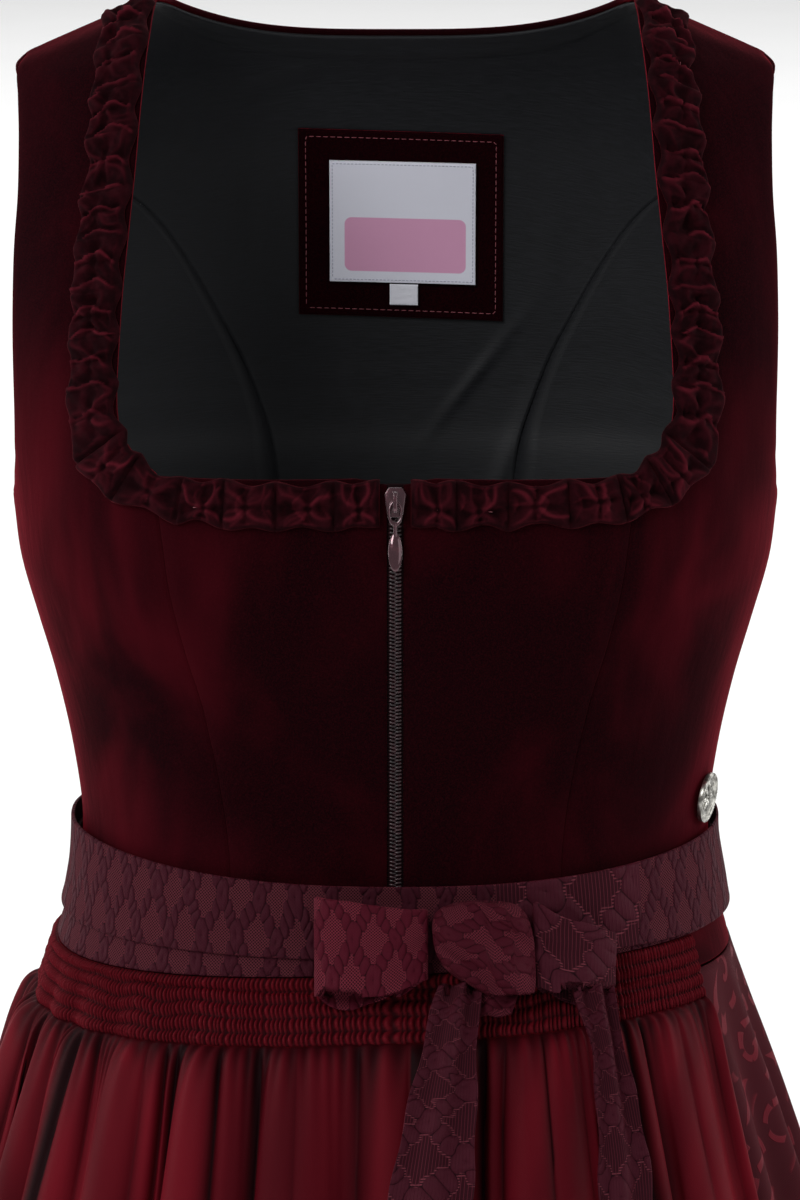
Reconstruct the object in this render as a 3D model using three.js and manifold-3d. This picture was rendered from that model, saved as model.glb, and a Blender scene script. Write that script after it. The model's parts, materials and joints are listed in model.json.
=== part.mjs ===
// Dirndl dress, size 34, hollow as when it is worn: a lined velvet bodice with a front zip and a ruched
// neckline trim, a gathered brocade skirt, and an apron with a smocked yoke, a waistband and a tied bow.
// Millimetres. +Z is up, the front faces -Y, and the origin lies on the centre line between the two
// shoulders, at the height of the neck end of the shoulder seams, where the wearer carries the dress.

import * as THREE from "three";
import { mergeVertices } from "three/addons/utils/BufferGeometryUtils.js";
import Module from "manifold-3d";

const { degToRad, lerp, clamp } = THREE.MathUtils;

// Cloth thicknesses and the gap that touching pieces keep
const GAP = 0.3;
const VELVET = 1.8;
const LINING = 1.0;
const BROCADE = 1.3;
const CHIFFON = 1.2;
const JACQUARD = 1.6;

// Horizontal rings of the dress from the hem to the shoulder ridge. side, front and back are half widths,
// square is the superellipse exponent of the ring, and fold the height of the skirt's gathers there.
// The bodice's rows add where its edges and seams run: neck, frontSeam and backSeam are distances from
// the centre line, armFront and armBack are distances of the armhole's edges from the side line.
const RINGS = [
  { at: "hem", z: -1039, side: 300, front: 264, back: 272, square: 2.0, fold: 15.0 },
  { z: -860, side: 260, front: 228, back: 235, square: 2.0, fold: 13.0 },
  { z: -690, side: 221, front: 193, back: 198, square: 2.0, fold: 10.5 },
  { z: -550, side: 187, front: 161, back: 165, square: 2.05, fold: 7.5 },
  { z: -460, side: 160.5, front: 136, back: 140, square: 2.15, fold: 4.4 },
  { z: -415, side: 146.5, front: 116, back: 116, square: 2.25, fold: 1.6 },
  {
    at: "waist", z: -389, side: 138.5, front: 97, back: 89, square: 2.35, fold: 0,
    frontSeam: 67, backSeam: 48,
  },
  { z: -366, side: 132.5, front: 90.5, back: 82, square: 2.4, fold: 0, frontSeam: 66, backSeam: 46.5 },
  { z: -337, side: 129, front: 87, back: 77.5, square: 2.4, fold: 0, frontSeam: 66.5, backSeam: 46 },
  { z: -306, side: 132.5, front: 89, back: 78.5, square: 2.4, fold: 0, frontSeam: 70, backSeam: 46.5 },
  { z: -275, side: 139, front: 97, back: 83, square: 2.4, fold: 0, frontSeam: 76, backSeam: 47.5 },
  { z: -250, side: 146, front: 104.5, back: 87, square: 2.4, fold: 0, frontSeam: 83, backSeam: 48.5 },
  { z: -226, side: 152.5, front: 109.5, back: 90, square: 2.4, fold: 0, frontSeam: 88.5, backSeam: 49.5 },
  {
    at: "underarm", z: -205, side: 155, front: 110, back: 92, square: 2.45, fold: 0,
    frontSeam: 91.5, backSeam: 51.5, armFront: 0, armBack: 0,
  },
  {
    z: -192, side: 156.5, front: 107, back: 94, square: 2.5, fold: 0,
    frontSeam: 93, backSeam: 54.5, armFront: 30, armBack: 33,
  },
  {
    at: "neckline", z: -179, side: 158.5, front: 103.5, back: 95, square: 2.5, fold: 0,
    neck: 93, frontSeam: 93, backSeam: 59, armFront: 39, armBack: 43,
  },
  {
    z: -171, side: 160, front: 101.5, back: 95.3, square: 2.5, fold: 0,
    neck: 102.5, backSeam: 62, armFront: 42, armBack: 46,
  },
  {
    z: -155, side: 161.5, front: 97.5, back: 95.5, square: 2.5, fold: 0,
    neck: 109.5, backSeam: 69, armFront: 43.5, armBack: 48,
  },
  {
    z: -115, side: 164, front: 87, back: 94.5, square: 2.5, fold: 0,
    neck: 108, backSeam: 91, armFront: 42, armBack: 48.5,
  },
  {
    z: -84, side: 164, front: 77, back: 91, square: 2.5, fold: 0,
    neck: 105, backSeam: 115, armFront: 38, armBack: 46,
  },
  {
    at: "apex", z: -60, side: 163, front: 67.5, back: 85, square: 2.5, fold: 0,
    neck: 102.5, backSeam: 151.2, armFront: 34, armBack: 41,
  },
  {
    z: -36, side: 161.5, front: 55.5, back: 73, square: 2.5, fold: 0,
    neck: 100.5, armFront: 27, armBack: 32,
  },
  { z: -17, side: 160, front: 40, back: 54, square: 2.5, fold: 0, neck: 98.5, armFront: 18, armBack: 22 },
  { z: -5, side: 159, front: 21.5, back: 30, square: 2.5, fold: 0, neck: 97, armFront: 9, armBack: 11 },
  {
    at: "ridge", z: 0, side: 153.5, front: 0.17, back: 0.17, square: 2.5, fold: 0,
    neck: 96, armFront: 0, armBack: 0,
  },
];
const SHOULDER_NECK = 96; // half width where the shoulder seam meets the neck
const SHOULDER_DROP = 25; // the seam's fall from there to the shoulder's tip
const SHOULDER_TIP = 153.5;

const rowNamed = (name) => RINGS.findIndex((ring) => ring.at === name);
const HEM_ROW = rowNamed("hem");
const WAIST_ROW = rowNamed("waist");
const UNDERARM_ROW = rowNamed("underarm");
const NECKLINE_ROW = rowNamed("neckline");
const APEX_ROW = rowNamed("apex");
const RIDGE_ROW = rowNamed("ridge");

// One column of the ring table at any row, on a smooth curve through the rings that have it. The curve
// breaks at the waist seam.
function ringValue(column, row) {
  const low = clamp(Math.floor(row), 0, RINGS.length - 2);
  const share = row - low;
  const here = RINGS[low][column];
  const next = RINGS[low + 1][column] ?? here;
  const before = (low !== WAIST_ROW && RINGS[low - 1]?.[column]) || 2 * here - next;
  const after = (low + 1 !== WAIST_ROW && RINGS[low + 2]?.[column]) || 2 * next - here;
  const slopeHere = (next - before) / 2;
  const slopeNext = (after - here) / 2;
  const share2 = share * share;
  const share3 = share2 * share;
  return (
    here * (2 * share3 - 3 * share2 + 1) + slopeHere * (share3 - 2 * share2 + share) +
    next * (3 * share2 - 2 * share3) + slopeNext * (share3 - share2)
  );
}

// Skirt folds: uneven in width by a slow wobble of the angle, and uneven in depth
const FOLDS = 25;
const WOBBLE = 0.045;
const wobble = (angle) => WOBBLE * (Math.sin(3 * angle + 1) + Math.sin(7 * angle) / 2);
const foldPhase = (angle) => FOLDS * (angle + wobble(angle));
const foldDepth = (angle) => 0.78 + 0.22 * Math.sin(5 * angle + 2);
const foldWave = (angle) => foldDepth(angle) * Math.cos(foldPhase(angle));

// The angle at which the folds' phase has a given value
function angleAtPhase(phase) {
  let angle = phase / FOLDS;
  for (let step = 0; step < 12; step++) angle -= (foldPhase(angle) - phase) / FOLDS;
  return angle;
}

// A point of the dress's outer face, folded by a share of the folds' height
function facePoint(angle, row, foldShare) {
  const power = 2 / ringValue("square", row);
  const cos = Math.cos(angle);
  const sin = Math.sin(angle);
  const depth = ringValue(sin < 0 ? "front" : "back", row);
  const across = Math.sign(cos) * Math.abs(cos) ** power;
  const along = Math.sign(sin) * Math.abs(sin) ** power;
  const wave = foldShare * ringValue("fold", row) * foldWave(angle);
  const x = ringValue("side", row) * across + wave * cos;
  const y = row < RIDGE_ROW ? depth * along + wave * sin : depth * Math.sign(sin);
  const level = ringValue("z", row);
  const slope = clamp((Math.abs(x) - SHOULDER_NECK) / (SHOULDER_TIP - SHOULDER_NECK), 0, 1.05);
  const rise = clamp(1 - level / RINGS[UNDERARM_ROW].z, 0, 1);
  return new THREE.Vector3(x, y, level - SHOULDER_DROP * slope * rise);
}

// The same point moved out along the face's normal, which stands upright on the shoulder ridge
const STEP = 1e-3;
function onDress(angle, row, out = 0, foldShare = 1) {
  const point = facePoint(angle, row, foldShare);
  if (out === 0) return point;
  const around = facePoint(angle + STEP, row, foldShare).sub(facePoint(angle - STEP, row, foldShare));
  if (row >= RIDGE_ROW) {
    const upright = new THREE.Vector3(-around.z, 0, around.x).setLength(Math.sign(around.x));
    return point.addScaledVector(upright, out);
  }
  const up = facePoint(angle, row + STEP, foldShare).sub(facePoint(angle, row - STEP, foldShare));
  return point.addScaledVector(around.cross(up).normalize(), out);
}

// Angle from the side line at which a ring is a given distance from the centre line, or in front of
// or behind the side line
function angleOfX(x, row) {
  return Math.acos(Math.min(1, Math.abs(x) / ringValue("side", row)) ** (ringValue("square", row) / 2));
}
function angleOfDepth(depth, row, column) {
  return Math.asin(Math.min(1, Math.abs(depth) / ringValue(column, row)) ** (ringValue("square", row) / 2));
}

// The row at which the face in front, behind or at the side has a given height
function rowAtHeight(z) {
  let low = HEM_ROW;
  let high = RIDGE_ROW;
  while (high - low > 1e-6) {
    const middle = (low + high) / 2;
    if (ringValue("z", middle) < z) low = middle;
    else high = middle;
  }
  return low;
}

// Lists of evenly spaced values and of whole rows
const spaced = (from, to, count) => Array.from({ length: count + 1 }, (_, i) => lerp(from, to, i / count));
const rowsBetween = (from, to) => Array.from({ length: to - from + 1 }, (_, i) => from + i);

// A closed solid from triangles of shared points, turned so that its faces point out
function solidFrom(triangles) {
  let volume = 0;
  for (const [a, b, c] of triangles) volume += a.dot(b.clone().cross(c));
  const turned = volume < 0 ? triangles.map(([a, b, c]) => [a, c, b]) : triangles;
  const geometry = new THREE.BufferGeometry().setFromPoints(turned.flat());
  geometry.computeVertexNormals();
  return geometry;
}

// Triangles of the strip between two lines of points, which may have different numbers of points
function strip(first, second) {
  const triangles = [];
  let i = 0;
  let j = 0;
  while (i < first.length - 1 || j < second.length - 1) {
    const advanceFirst = (i + 1) / (first.length - 1) <= (j + 1) / (second.length - 1);
    if (i < first.length - 1 && (advanceFirst || j === second.length - 1)) {
      triangles.push([first[i], first[i + 1], second[j]]);
      i++;
    } else {
      triangles.push([first[i], second[j + 1], second[j]]);
      j++;
    }
  }
  return triangles;
}

// A cloth wall between an outer and an inner grid. A grid is a list of rows of points. The two have equal
// rows at the first and last, but the inner one may have fewer rows. A ring's rows end where they began.
function wall(outer, inner, ring = false) {
  const triangles = [];
  for (let j = 0; j < outer.length - 1; j++) triangles.push(...strip(outer[j], outer[j + 1]));
  for (let j = 0; j < inner.length - 1; j++) {
    triangles.push(...strip(inner[j], inner[j + 1]).map(([a, b, c]) => [a, c, b]));
  }
  triangles.push(...strip(inner[0], outer[0]));
  triangles.push(...strip(outer.at(-1), inner.at(-1)));
  if (!ring) {
    triangles.push(...strip(outer.map((line) => line[0]), inner.map((line) => line[0])));
    triangles.push(...strip(inner.map((line) => line.at(-1)), outer.map((line) => line.at(-1))));
  }
  return solidFrom(triangles);
}

// A grid of points from a function of column and row, and the same grid closed round a ring
const grid = (columns, rows, point) => rows.map((row) => columns.map((column) => point(column, row)));
function ringGrid(columns, rows, point) {
  const lines = grid(columns.slice(0, -1), rows, point);
  return lines.map((line) => [...line, line[0]]);
}

const mirrored = (lines) => lines.map((line) => line.map((p) => new THREE.Vector3(-p.x, p.y, p.z)));

const dress = new THREE.Group();
const cloth = (color, roughness = 0.9) => new THREE.MeshStandardMaterial({ color, roughness, metalness: 0 });
const VELVET_FINISH = cloth(0x3a060f, 0.95);
const LINING_FINISH = cloth(0x1d1f23);
const BROCADE_FINISH = cloth(0x6e1420, 0.6);
const CHIFFON_FINISH = cloth(0x5d1520, 0.7);
const JACQUARD_FINISH = cloth(0x4b1a27, 0.85);
const ZIP_FINISH = cloth(0x33141b, 0.5);
const LABEL_FINISH = cloth(0xdfe0ec, 0.7);
const METAL_FINISH = new THREE.MeshStandardMaterial({ color: 0xb9bab6, roughness: 0.35, metalness: 1 });

function addPiece(name, geometry, finish) {
  const mesh = new THREE.Mesh(geometry, finish);
  mesh.name = name;
  dress.add(mesh);
}

// Bodice panels, each cut once in velvet and once in lining. edges gives the two side edges as angles,
// and top the last row of each column. The rows over shapedFrom close up towards that top.
const SEAM_INSET = 0.17;
function insetAngle(angle, row, distance) {
  const step = onDress(angle + STEP, row).distanceTo(onDress(angle - STEP, row)) / (2 * STEP);
  return angle + distance / step;
}

function bodicePanel(shape, outside, thickness) {
  const { columns, edges, lastRow, shapedFrom = lastRow, top = () => lastRow } = shape;
  const rows = [WAIST_ROW + 0.015, ...rowsBetween(WAIST_ROW + 1, Math.floor(lastRow))];
  if (lastRow > rows.at(-1) + 0.01) rows.push(lastRow);
  const place = (column, row, out) => {
    const over = Math.max(0, row - shapedFrom) / Math.max(lastRow - shapedFrom, 1e-9);
    const actualRow = row <= shapedFrom ? row : lerp(shapedFrom, top(column), over);
    const [start, end] = edges(actualRow, column);
    const from = insetAngle(start, actualRow, SEAM_INSET);
    const to = insetAngle(end, actualRow, -SEAM_INSET);
    return onDress(lerp(from, to, column), actualRow, out);
  };
  const face = (out) => grid(columns, rows, (column, row) => place(column, row, out));
  return [face(outside), face(outside - thickness)];
}

const ZIP_EDGE = 3.3; // from the centre line to the velvet's edge beside the zip
const ZIP_TAPE = 13; // half width of the zip's tape
const ARM_CLEAR = 0.004; // keeps an armhole edge off the side line, in radians
const sideEdge = (row, column, depth) =>
  row > UNDERARM_ROW ? Math.max(ARM_CLEAR, angleOfDepth(ringValue(column, row), row, depth)) : 0;
const frontSeamAngle = (row) => -angleOfX(ringValue("frontSeam", Math.min(row, NECKLINE_ROW)), row);
const neckAngle = (row) => -angleOfX(ringValue("neck", row), row);
const backSeamAngle = (row) => angleOfX(ringValue("backSeam", row), row);

// The neckline rises a little towards the zip and ends there in a rounded corner
const NECKLINE_RISE = 0.16;
const ZIP_CORNER = 0.28;
const frontTop = (column) =>
  NECKLINE_ROW + NECKLINE_RISE * (1 - column) ** 3 - ZIP_CORNER * Math.max(0, 1 - column * 14);

const centreFront = (edge) => ({
  columns: [0, 0.05, 0.35, 0.67, 1],
  lastRow: NECKLINE_ROW,
  shapedFrom: NECKLINE_ROW - 2,
  top: frontTop,
  edges: (row) => [-angleOfX(edge, row), frontSeamAngle(row)],
});
const sideFront = {
  columns: spaced(0, 1, 4),
  lastRow: RIDGE_ROW,
  edges: (row) => [
    row < NECKLINE_ROW ? frontSeamAngle(row) : neckAngle(row),
    -sideEdge(row, "armFront", "front"),
  ],
};
const sideBack = {
  columns: spaced(0, 1, 3),
  lastRow: APEX_ROW,
  edges: (row) => [sideEdge(row, "armBack", "back"), backSeamAngle(row)],
};

// The centre back runs from seam to seam, and from armhole to armhole higher up. Its columns gather on
// the two lines where the neck's edge turns down from the shoulder seam.
const BACK_NECK_DROP = 19.7;
const NECK_COLUMN = 0.72;
const HALF_BACK_COLUMNS = [0.28, 0.54, 0.67, NECK_COLUMN, 0.86, 1];
const backColumns = [...HALF_BACK_COLUMNS.map((column) => -column).reverse(), 0, ...HALF_BACK_COLUMNS];
const backShape = {
  columns: backColumns.map((column) => (column + 1) / 2),
  top: (share) => {
    const across = Math.abs(2 * share - 1) / NECK_COLUMN;
    return across < 0.999 ? rowAtHeight(-BACK_NECK_DROP * (1 - across ** 2.6)) : RIDGE_ROW;
  },
};
function backPoint(share, row, out) {
  const column = 2 * share - 1;
  const over = (row - APEX_ROW) / (RIDGE_ROW - APEX_ROW);
  const actualRow = row <= APEX_ROW ? row : lerp(APEX_ROW, backShape.top(share), over);
  const onSeam = actualRow < APEX_ROW + 0.01;
  const seamEdge = onSeam ? backSeamAngle(actualRow) : sideEdge(actualRow, "armBack", "back");
  const outerEdge = insetAngle(Math.min(seamEdge, Math.PI / 2), actualRow, SEAM_INSET);
  const straight = lerp(Math.PI / 2, outerEdge, Math.abs(column));
  const neckEdge = angleOfX(ringValue("neck", RIDGE_ROW), actualRow);
  const bent = Math.abs(column) < NECK_COLUMN
    ? lerp(Math.PI / 2, neckEdge, Math.abs(column) / NECK_COLUMN)
    : lerp(neckEdge, outerEdge, (Math.abs(column) - NECK_COLUMN) / (1 - NECK_COLUMN));
  const angle = lerp(straight, bent, clamp((actualRow - APEX_ROW + 3) / 3, 0, 1));
  return onDress(column < 0 ? angle : Math.PI - angle, actualRow, out);
}

const layers = [
  { suffix: "velvet", outside: 0, thickness: VELVET, finish: VELVET_FINISH, zipEdge: ZIP_EDGE },
  {
    suffix: "lining", outside: -VELVET - GAP, thickness: LINING, finish: LINING_FINISH,
    zipEdge: ZIP_TAPE + GAP,
  },
];
for (const { suffix, outside, thickness, finish, zipEdge } of layers) {
  const halves = { centre_front: centreFront(zipEdge), side_front: sideFront, side_back: sideBack };
  for (const [name, shape] of Object.entries(halves)) {
    const [outer, inner] = bodicePanel(shape, outside, thickness);
    addPiece(`${name}_right_${suffix}`, wall(outer, inner), finish);
    addPiece(`${name}_left_${suffix}`, wall(mirrored(outer), mirrored(inner)), finish);
  }
  const rows = [WAIST_ROW + 0.015, ...rowsBetween(WAIST_ROW + 1, RIDGE_ROW)];
  const [outer, inner] = [outside, outside - thickness].map((out) =>
    grid(backShape.columns, rows, (share, row) => backPoint(share, row, out)),
  );
  addPiece(`centre_back_${suffix}`, wall(outer, inner), finish);
}

// Points of the front or back face at a distance from the centre line and at a ring's height
function faceAt(x, z, out, { back = false, foldShare = 1 } = {}) {
  const row = rowAtHeight(z);
  const fromSide = angleOfX(x, row);
  const turned = x < 0 ? Math.PI - fromSide : fromSide;
  return onDress(back ? turned : -turned, row, out, foldShare);
}

// Puts a solid's own x, y and z axes across, up and out of the front face at a height
function placeOnFront(geometry, z, out) {
  const origin = faceAt(0, z, out);
  const normal = faceAt(0, z, out + 1).sub(origin);
  const across = new THREE.Vector3(1, 0, 0);
  const axes = new THREE.Matrix4().makeBasis(across, normal.clone().cross(across), normal);
  return geometry.applyMatrix4(axes.setPosition(origin));
}

// Zip: a tape between the two linings, with its closed chain raised in the gap between the velvet edges
const TAPE_OUT = -VELVET - GAP;
const CHAIN_HALF = 2.4;
const CHAIN_TOP = -0.3;
const ZIP_TOP = NECKLINE_ROW - 0.06;
const ZIP_BOTTOM = rowAtHeight(-380);
const zipRows = [ZIP_BOTTOM, ...rowsBetween(WAIST_ROW + 1, NECKLINE_ROW - 1), ZIP_TOP];
const zipSections = [
  { x: -ZIP_TAPE, out: TAPE_OUT },
  { x: -CHAIN_HALF - 0.3, out: TAPE_OUT },
  { x: -CHAIN_HALF, out: CHAIN_TOP },
  { x: CHAIN_HALF, out: CHAIN_TOP },
  { x: CHAIN_HALF + 0.3, out: TAPE_OUT },
  { x: ZIP_TAPE, out: TAPE_OUT },
];
const zipPoint = (section, row, out) => {
  const fromSide = angleOfX(section.x, row);
  return onDress(section.x < 0 ? fromSide - Math.PI : -fromSide, row, out);
};
addPiece(
  "zip_tape",
  wall(
    grid(zipSections, zipRows, (section, row) => zipPoint(section, row, section.out)),
    grid(zipSections, zipRows, (section, row) => zipPoint(section, row, TAPE_OUT - LINING)),
  ),
  ZIP_FINISH,
);

// Slider: a wedge on the closed chain with an arch on its face that carries the pull. The pull is a flat
// tear drop with an eye, and turns about the bar at the top of the eye, which lies under the arch.
const SLIDER_Z = -187;
const SLIDER = { top: 4.2, bottom: 3.1, rise: 5.8, fall: 5.8, thick: 2.2 };
const ARCH = { half: 4, inner: 2.9, tall: 3.3, clear: 2.5, width: 1.5 };
const PULL = {
  thick: 1.4, pivot: 1.25, bar: 0.65, eyeHalf: 2.9, holeHalf: 1.75, eyeTall: 10, dropHalf: 2.7, length: 27,
};
const sliderBody = new THREE.Shape([
  new THREE.Vector2(-SLIDER.bottom, -SLIDER.fall + 1),
  new THREE.Vector2(-SLIDER.bottom + 1, -SLIDER.fall),
  new THREE.Vector2(SLIDER.bottom - 1, -SLIDER.fall),
  new THREE.Vector2(SLIDER.bottom, -SLIDER.fall + 1),
  new THREE.Vector2(SLIDER.top, SLIDER.rise - 2.5),
  new THREE.Vector2(SLIDER.top - 1.6, SLIDER.rise),
  new THREE.Vector2(-SLIDER.top + 1.6, SLIDER.rise),
  new THREE.Vector2(-SLIDER.top, SLIDER.rise - 2.5),
]);
const archSide = new THREE.Shape([
  new THREE.Vector2(-ARCH.half, -0.4),
  new THREE.Vector2(-ARCH.inner, -0.4),
  new THREE.Vector2(-ARCH.inner, ARCH.clear - 0.7),
  new THREE.Vector2(-ARCH.inner + 0.7, ARCH.clear),
  new THREE.Vector2(ARCH.inner - 0.7, ARCH.clear),
  new THREE.Vector2(ARCH.inner, ARCH.clear - 0.7),
  new THREE.Vector2(ARCH.inner, -0.4),
  new THREE.Vector2(ARCH.half, -0.4),
  new THREE.Vector2(ARCH.half, ARCH.tall - 1.2),
  new THREE.Vector2(ARCH.half - 1.2, ARCH.tall),
  new THREE.Vector2(-ARCH.half + 1.2, ARCH.tall),
  new THREE.Vector2(-ARCH.half, ARCH.tall - 1.2),
]);
const flat = (depth) => ({ depth, bevelEnabled: false, curveSegments: 5 });
const arch = new THREE.ExtrudeGeometry(archSide, flat(ARCH.width));
const [acrossAxis, upAxis, outAxis] = [0, 1, 2].map((i) => new THREE.Vector3().setComponent(i, 1));
const archAxes = new THREE.Matrix4().makeBasis(upAxis, outAxis, acrossAxis);
arch.translate(0, 0, -ARCH.width / 2).applyMatrix4(archAxes);

const wasm = await Module();
wasm.setup();
function toManifold(geometry) {
  const bare = geometry.clone();
  bare.deleteAttribute("normal");
  bare.deleteAttribute("uv");
  const merged = mergeVertices(bare, 1e-4);
  const vertProperties = Float32Array.from(merged.attributes.position.array);
  const triVerts = Uint32Array.from(merged.index.array);
  return new wasm.Manifold(new wasm.Mesh({ numProp: 3, vertProperties, triVerts }));
}

function fromManifold(solid) {
  const mesh = solid.getMesh();
  const geometry = new THREE.BufferGeometry();
  geometry.setAttribute("position", new THREE.BufferAttribute(Float32Array.from(mesh.vertProperties), 3));
  geometry.setIndex(new THREE.BufferAttribute(Uint32Array.from(mesh.triVerts), 1));
  geometry.computeVertexNormals();
  return geometry;
}

const SLIDER_OUT = CHAIN_TOP + GAP + 0.35;
const archOnBody = arch.translate(0, 0, SLIDER.thick);
const wedge = new THREE.ExtrudeGeometry(sliderBody, flat(SLIDER.thick));
const slider = toManifold(wedge).add(toManifold(archOnBody));
addPiece("zip_slider", placeOnFront(fromManifold(slider), SLIDER_Z, SLIDER_OUT), METAL_FINISH);

const pullShape = new THREE.Shape();
const eyeMiddle = PULL.bar - PULL.eyeTall / 2;
const neckAt = PULL.bar - PULL.eyeTall;
pullShape.moveTo(0, PULL.bar);
pullShape.bezierCurveTo(PULL.eyeHalf + 0.6, PULL.bar, PULL.eyeHalf + 0.6, neckAt + 1, 0.8, neckAt - 1);
pullShape.bezierCurveTo(PULL.dropHalf, neckAt - 6, PULL.dropHalf + 1.6, -PULL.length, 0, -PULL.length);
pullShape.bezierCurveTo(-PULL.dropHalf - 1.6, -PULL.length, -PULL.dropHalf, neckAt - 6, -0.8, neckAt - 1);
pullShape.bezierCurveTo(-PULL.eyeHalf - 0.6, neckAt + 1, -PULL.eyeHalf - 0.6, PULL.bar, 0, PULL.bar);
const eye = new THREE.Path();
eye.absellipse(0, eyeMiddle, PULL.holeHalf, PULL.eyeTall / 2 - 2 * PULL.bar, 0, 2 * Math.PI);
pullShape.holes.push(eye);
const pull = new THREE.ExtrudeGeometry(pullShape, flat(PULL.thick)).translate(0, 0, -PULL.thick / 2);
addPiece("zip_pull", placeOnFront(pull, SLIDER_Z, SLIDER_OUT + SLIDER.thick + PULL.pivot), METAL_FINISH);

// Ruched neckline trim, one length from each shoulder seam down the front edge and along to the zip.
// edge lies towards the neck and outer away from it. Each unit is a pleat whose two folds are caught
// together halfway across, so that they stand up and part above and below that stitch.
const TRIM_LINE = [
  { edge: [98.5, -2.5], outer: [117, -2.5] },
  { edge: [101, -17], outer: [119.5, -17] },
  { edge: [103, -36], outer: [121.5, -36] },
  { edge: [105, -60], outer: [123.5, -60] },
  { edge: [107.5, -84], outer: [125.5, -84] },
  { edge: [110, -115], outer: [127.5, -115] },
  { edge: [111, -140], outer: [129, -143] },
  { edge: [109, -160], outer: [127.5, -172] },
  { edge: [101, -173], outer: [112, -190] },
  { edge: [88, -180.5], outer: [92, -197] },
  { edge: [68, -181.5], outer: [69, -198.5] },
  { edge: [45, -182], outer: [45, -199] },
  { edge: [24, -181.5], outer: [24, -198.5] },
  { edge: [6, -180], outer: [6, -198] },
];
const TRIM_UNITS = 15;
const TRIM_PHASES = [-0.5, -0.26, -0.1, 0, 0.1, 0.26];
const trimEdges = ["edge", "outer"].map(
  (side) => new THREE.CatmullRomCurve3(TRIM_LINE.map((point) => new THREE.Vector3(...point[side], 0))),
);
const trimAt = (along, across) => {
  const [edge, outer] = trimEdges.map((curve) => curve.getPoint(along));
  return edge.lerp(outer, across);
};
const TRIM_STEPS = 300;
const trimLengths = [0];
for (let step = 1; step <= TRIM_STEPS; step++) {
  const [before, here] = [step - 1, step].map((i) => {
    const { x, y } = trimAt(i / TRIM_STEPS, 0.5);
    return faceAt(x, y, 0);
  });
  trimLengths.push(trimLengths.at(-1) + here.distanceTo(before));
}
function alongTrim(share) {
  const length = share * trimLengths.at(-1);
  const next = clamp(trimLengths.findIndex((reached) => reached >= length), 1, TRIM_STEPS);
  const part = (length - trimLengths[next - 1]) / (trimLengths[next] - trimLengths[next - 1]);
  return (next - 1 + part) / TRIM_STEPS;
}
const TRIM_OUT = 0.55;
const TRIM_FLAT = 1.4;
const TRIM_RISE = 4.4;
function trimHeight(unit, across) {
  const phase = unit - Math.round(unit);
  const fromStitch = Math.abs(2 * across - 1);
  const fold = 0.09 + 0.16 * fromStitch ** 1.4;
  const ridge = Math.exp(-(((Math.abs(phase) - fold) / 0.11) ** 2));
  return TRIM_FLAT + TRIM_RISE * ridge * (1 - 0.35 * fromStitch ** 3);
}
const trimColumns = [];
for (let unit = 0; unit < TRIM_UNITS; unit++) trimColumns.push(...TRIM_PHASES.map((phase) => unit + phase));
trimColumns.push(TRIM_UNITS - 0.5);
const TRIM_ACROSS = [0, 0.22, 0.5, 0.78, 1];
const trimPoint = (unit, across, out) => {
  const { x, y } = trimAt(alongTrim((unit + 0.5) / TRIM_UNITS), across);
  return faceAt(x, y, out);
};
const trimOuter = grid(trimColumns, TRIM_ACROSS, (unit, across) =>
  trimPoint(unit, across, TRIM_OUT + trimHeight(unit, across)),
);
const trimInner = grid(spaced(-0.5, TRIM_UNITS - 0.5, 2 * TRIM_UNITS), [0, 0.5, 1], (unit, across) =>
  trimPoint(unit, across, TRIM_OUT),
);
addPiece("neck_trim_right", wall(trimOuter, trimInner), VELVET_FINISH);
addPiece("neck_trim_left", wall(mirrored(trimOuter), mirrored(trimInner)), VELVET_FINISH);

// Label patch, label and size tab, flat on the inside of the back
const INSIDE = -VELVET - GAP - LINING - GAP - 0.7;
const LABELS = [
  { name: "label_patch", left: -41, right: 45.5, top: -64, bottom: -145, tilt: -2, over: 0 },
  { name: "label", left: -28, right: 34, top: -77, bottom: -130, tilt: -1.5, over: 1.9 },
  { name: "size_tab", left: -2.5, right: 9.5, top: -130.6, bottom: -139.5, tilt: 0, over: 1.9 },
];
const LABEL_THICK = 1.2;
for (const { name, left, right, top, bottom, tilt, over } of LABELS) {
  const columns = spaced(left, right, Math.ceil((right - left) / 16));
  const rows = spaced(bottom, top, Math.ceil((top - bottom) / 21));
  const place = (depth) => grid(columns, rows, (x, z) => {
    const lift = Math.tan(degToRad(tilt)) * (x - (left + right) / 2);
    return faceAt(x, z + lift, depth, { back: true });
  });
  const out = INSIDE - over;
  addPiece(name, wall(place(out), place(out - LABEL_THICK)), over ? LABEL_FINISH : VELVET_FINISH);
}

// Coin badge: a struck disc with a roped rim, sewn over the right side front above the tie
const COIN = { angle: degToRad(-17.3), z: -323, radius: 10.3, rim: 8.7, thick: 1.8, field: 1.1 };
const coin = new THREE.LatheGeometry(
  [
    new THREE.Vector2(0, 0),
    new THREE.Vector2(COIN.radius, 0),
    new THREE.Vector2(COIN.radius, COIN.thick),
    new THREE.Vector2(COIN.rim, COIN.thick),
    new THREE.Vector2(COIN.rim - 0.5, COIN.field),
    new THREE.Vector2(4.5, COIN.field),
    new THREE.Vector2(3.2, COIN.thick),
    new THREE.Vector2(0, COIN.thick),
  ],
  26,
);
const coinRow = rowAtHeight(COIN.z);
const coinSeat = onDress(COIN.angle, coinRow, 1.2);
const coinNormal = onDress(COIN.angle, coinRow, 2.2).sub(coinSeat);
const coinTurn = new THREE.Quaternion().setFromUnitVectors(new THREE.Vector3(0, 1, 0), coinNormal);
coin.applyQuaternion(coinTurn).translate(...coinSeat);
addPiece("coin_badge", coin, METAL_FINISH);

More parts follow.
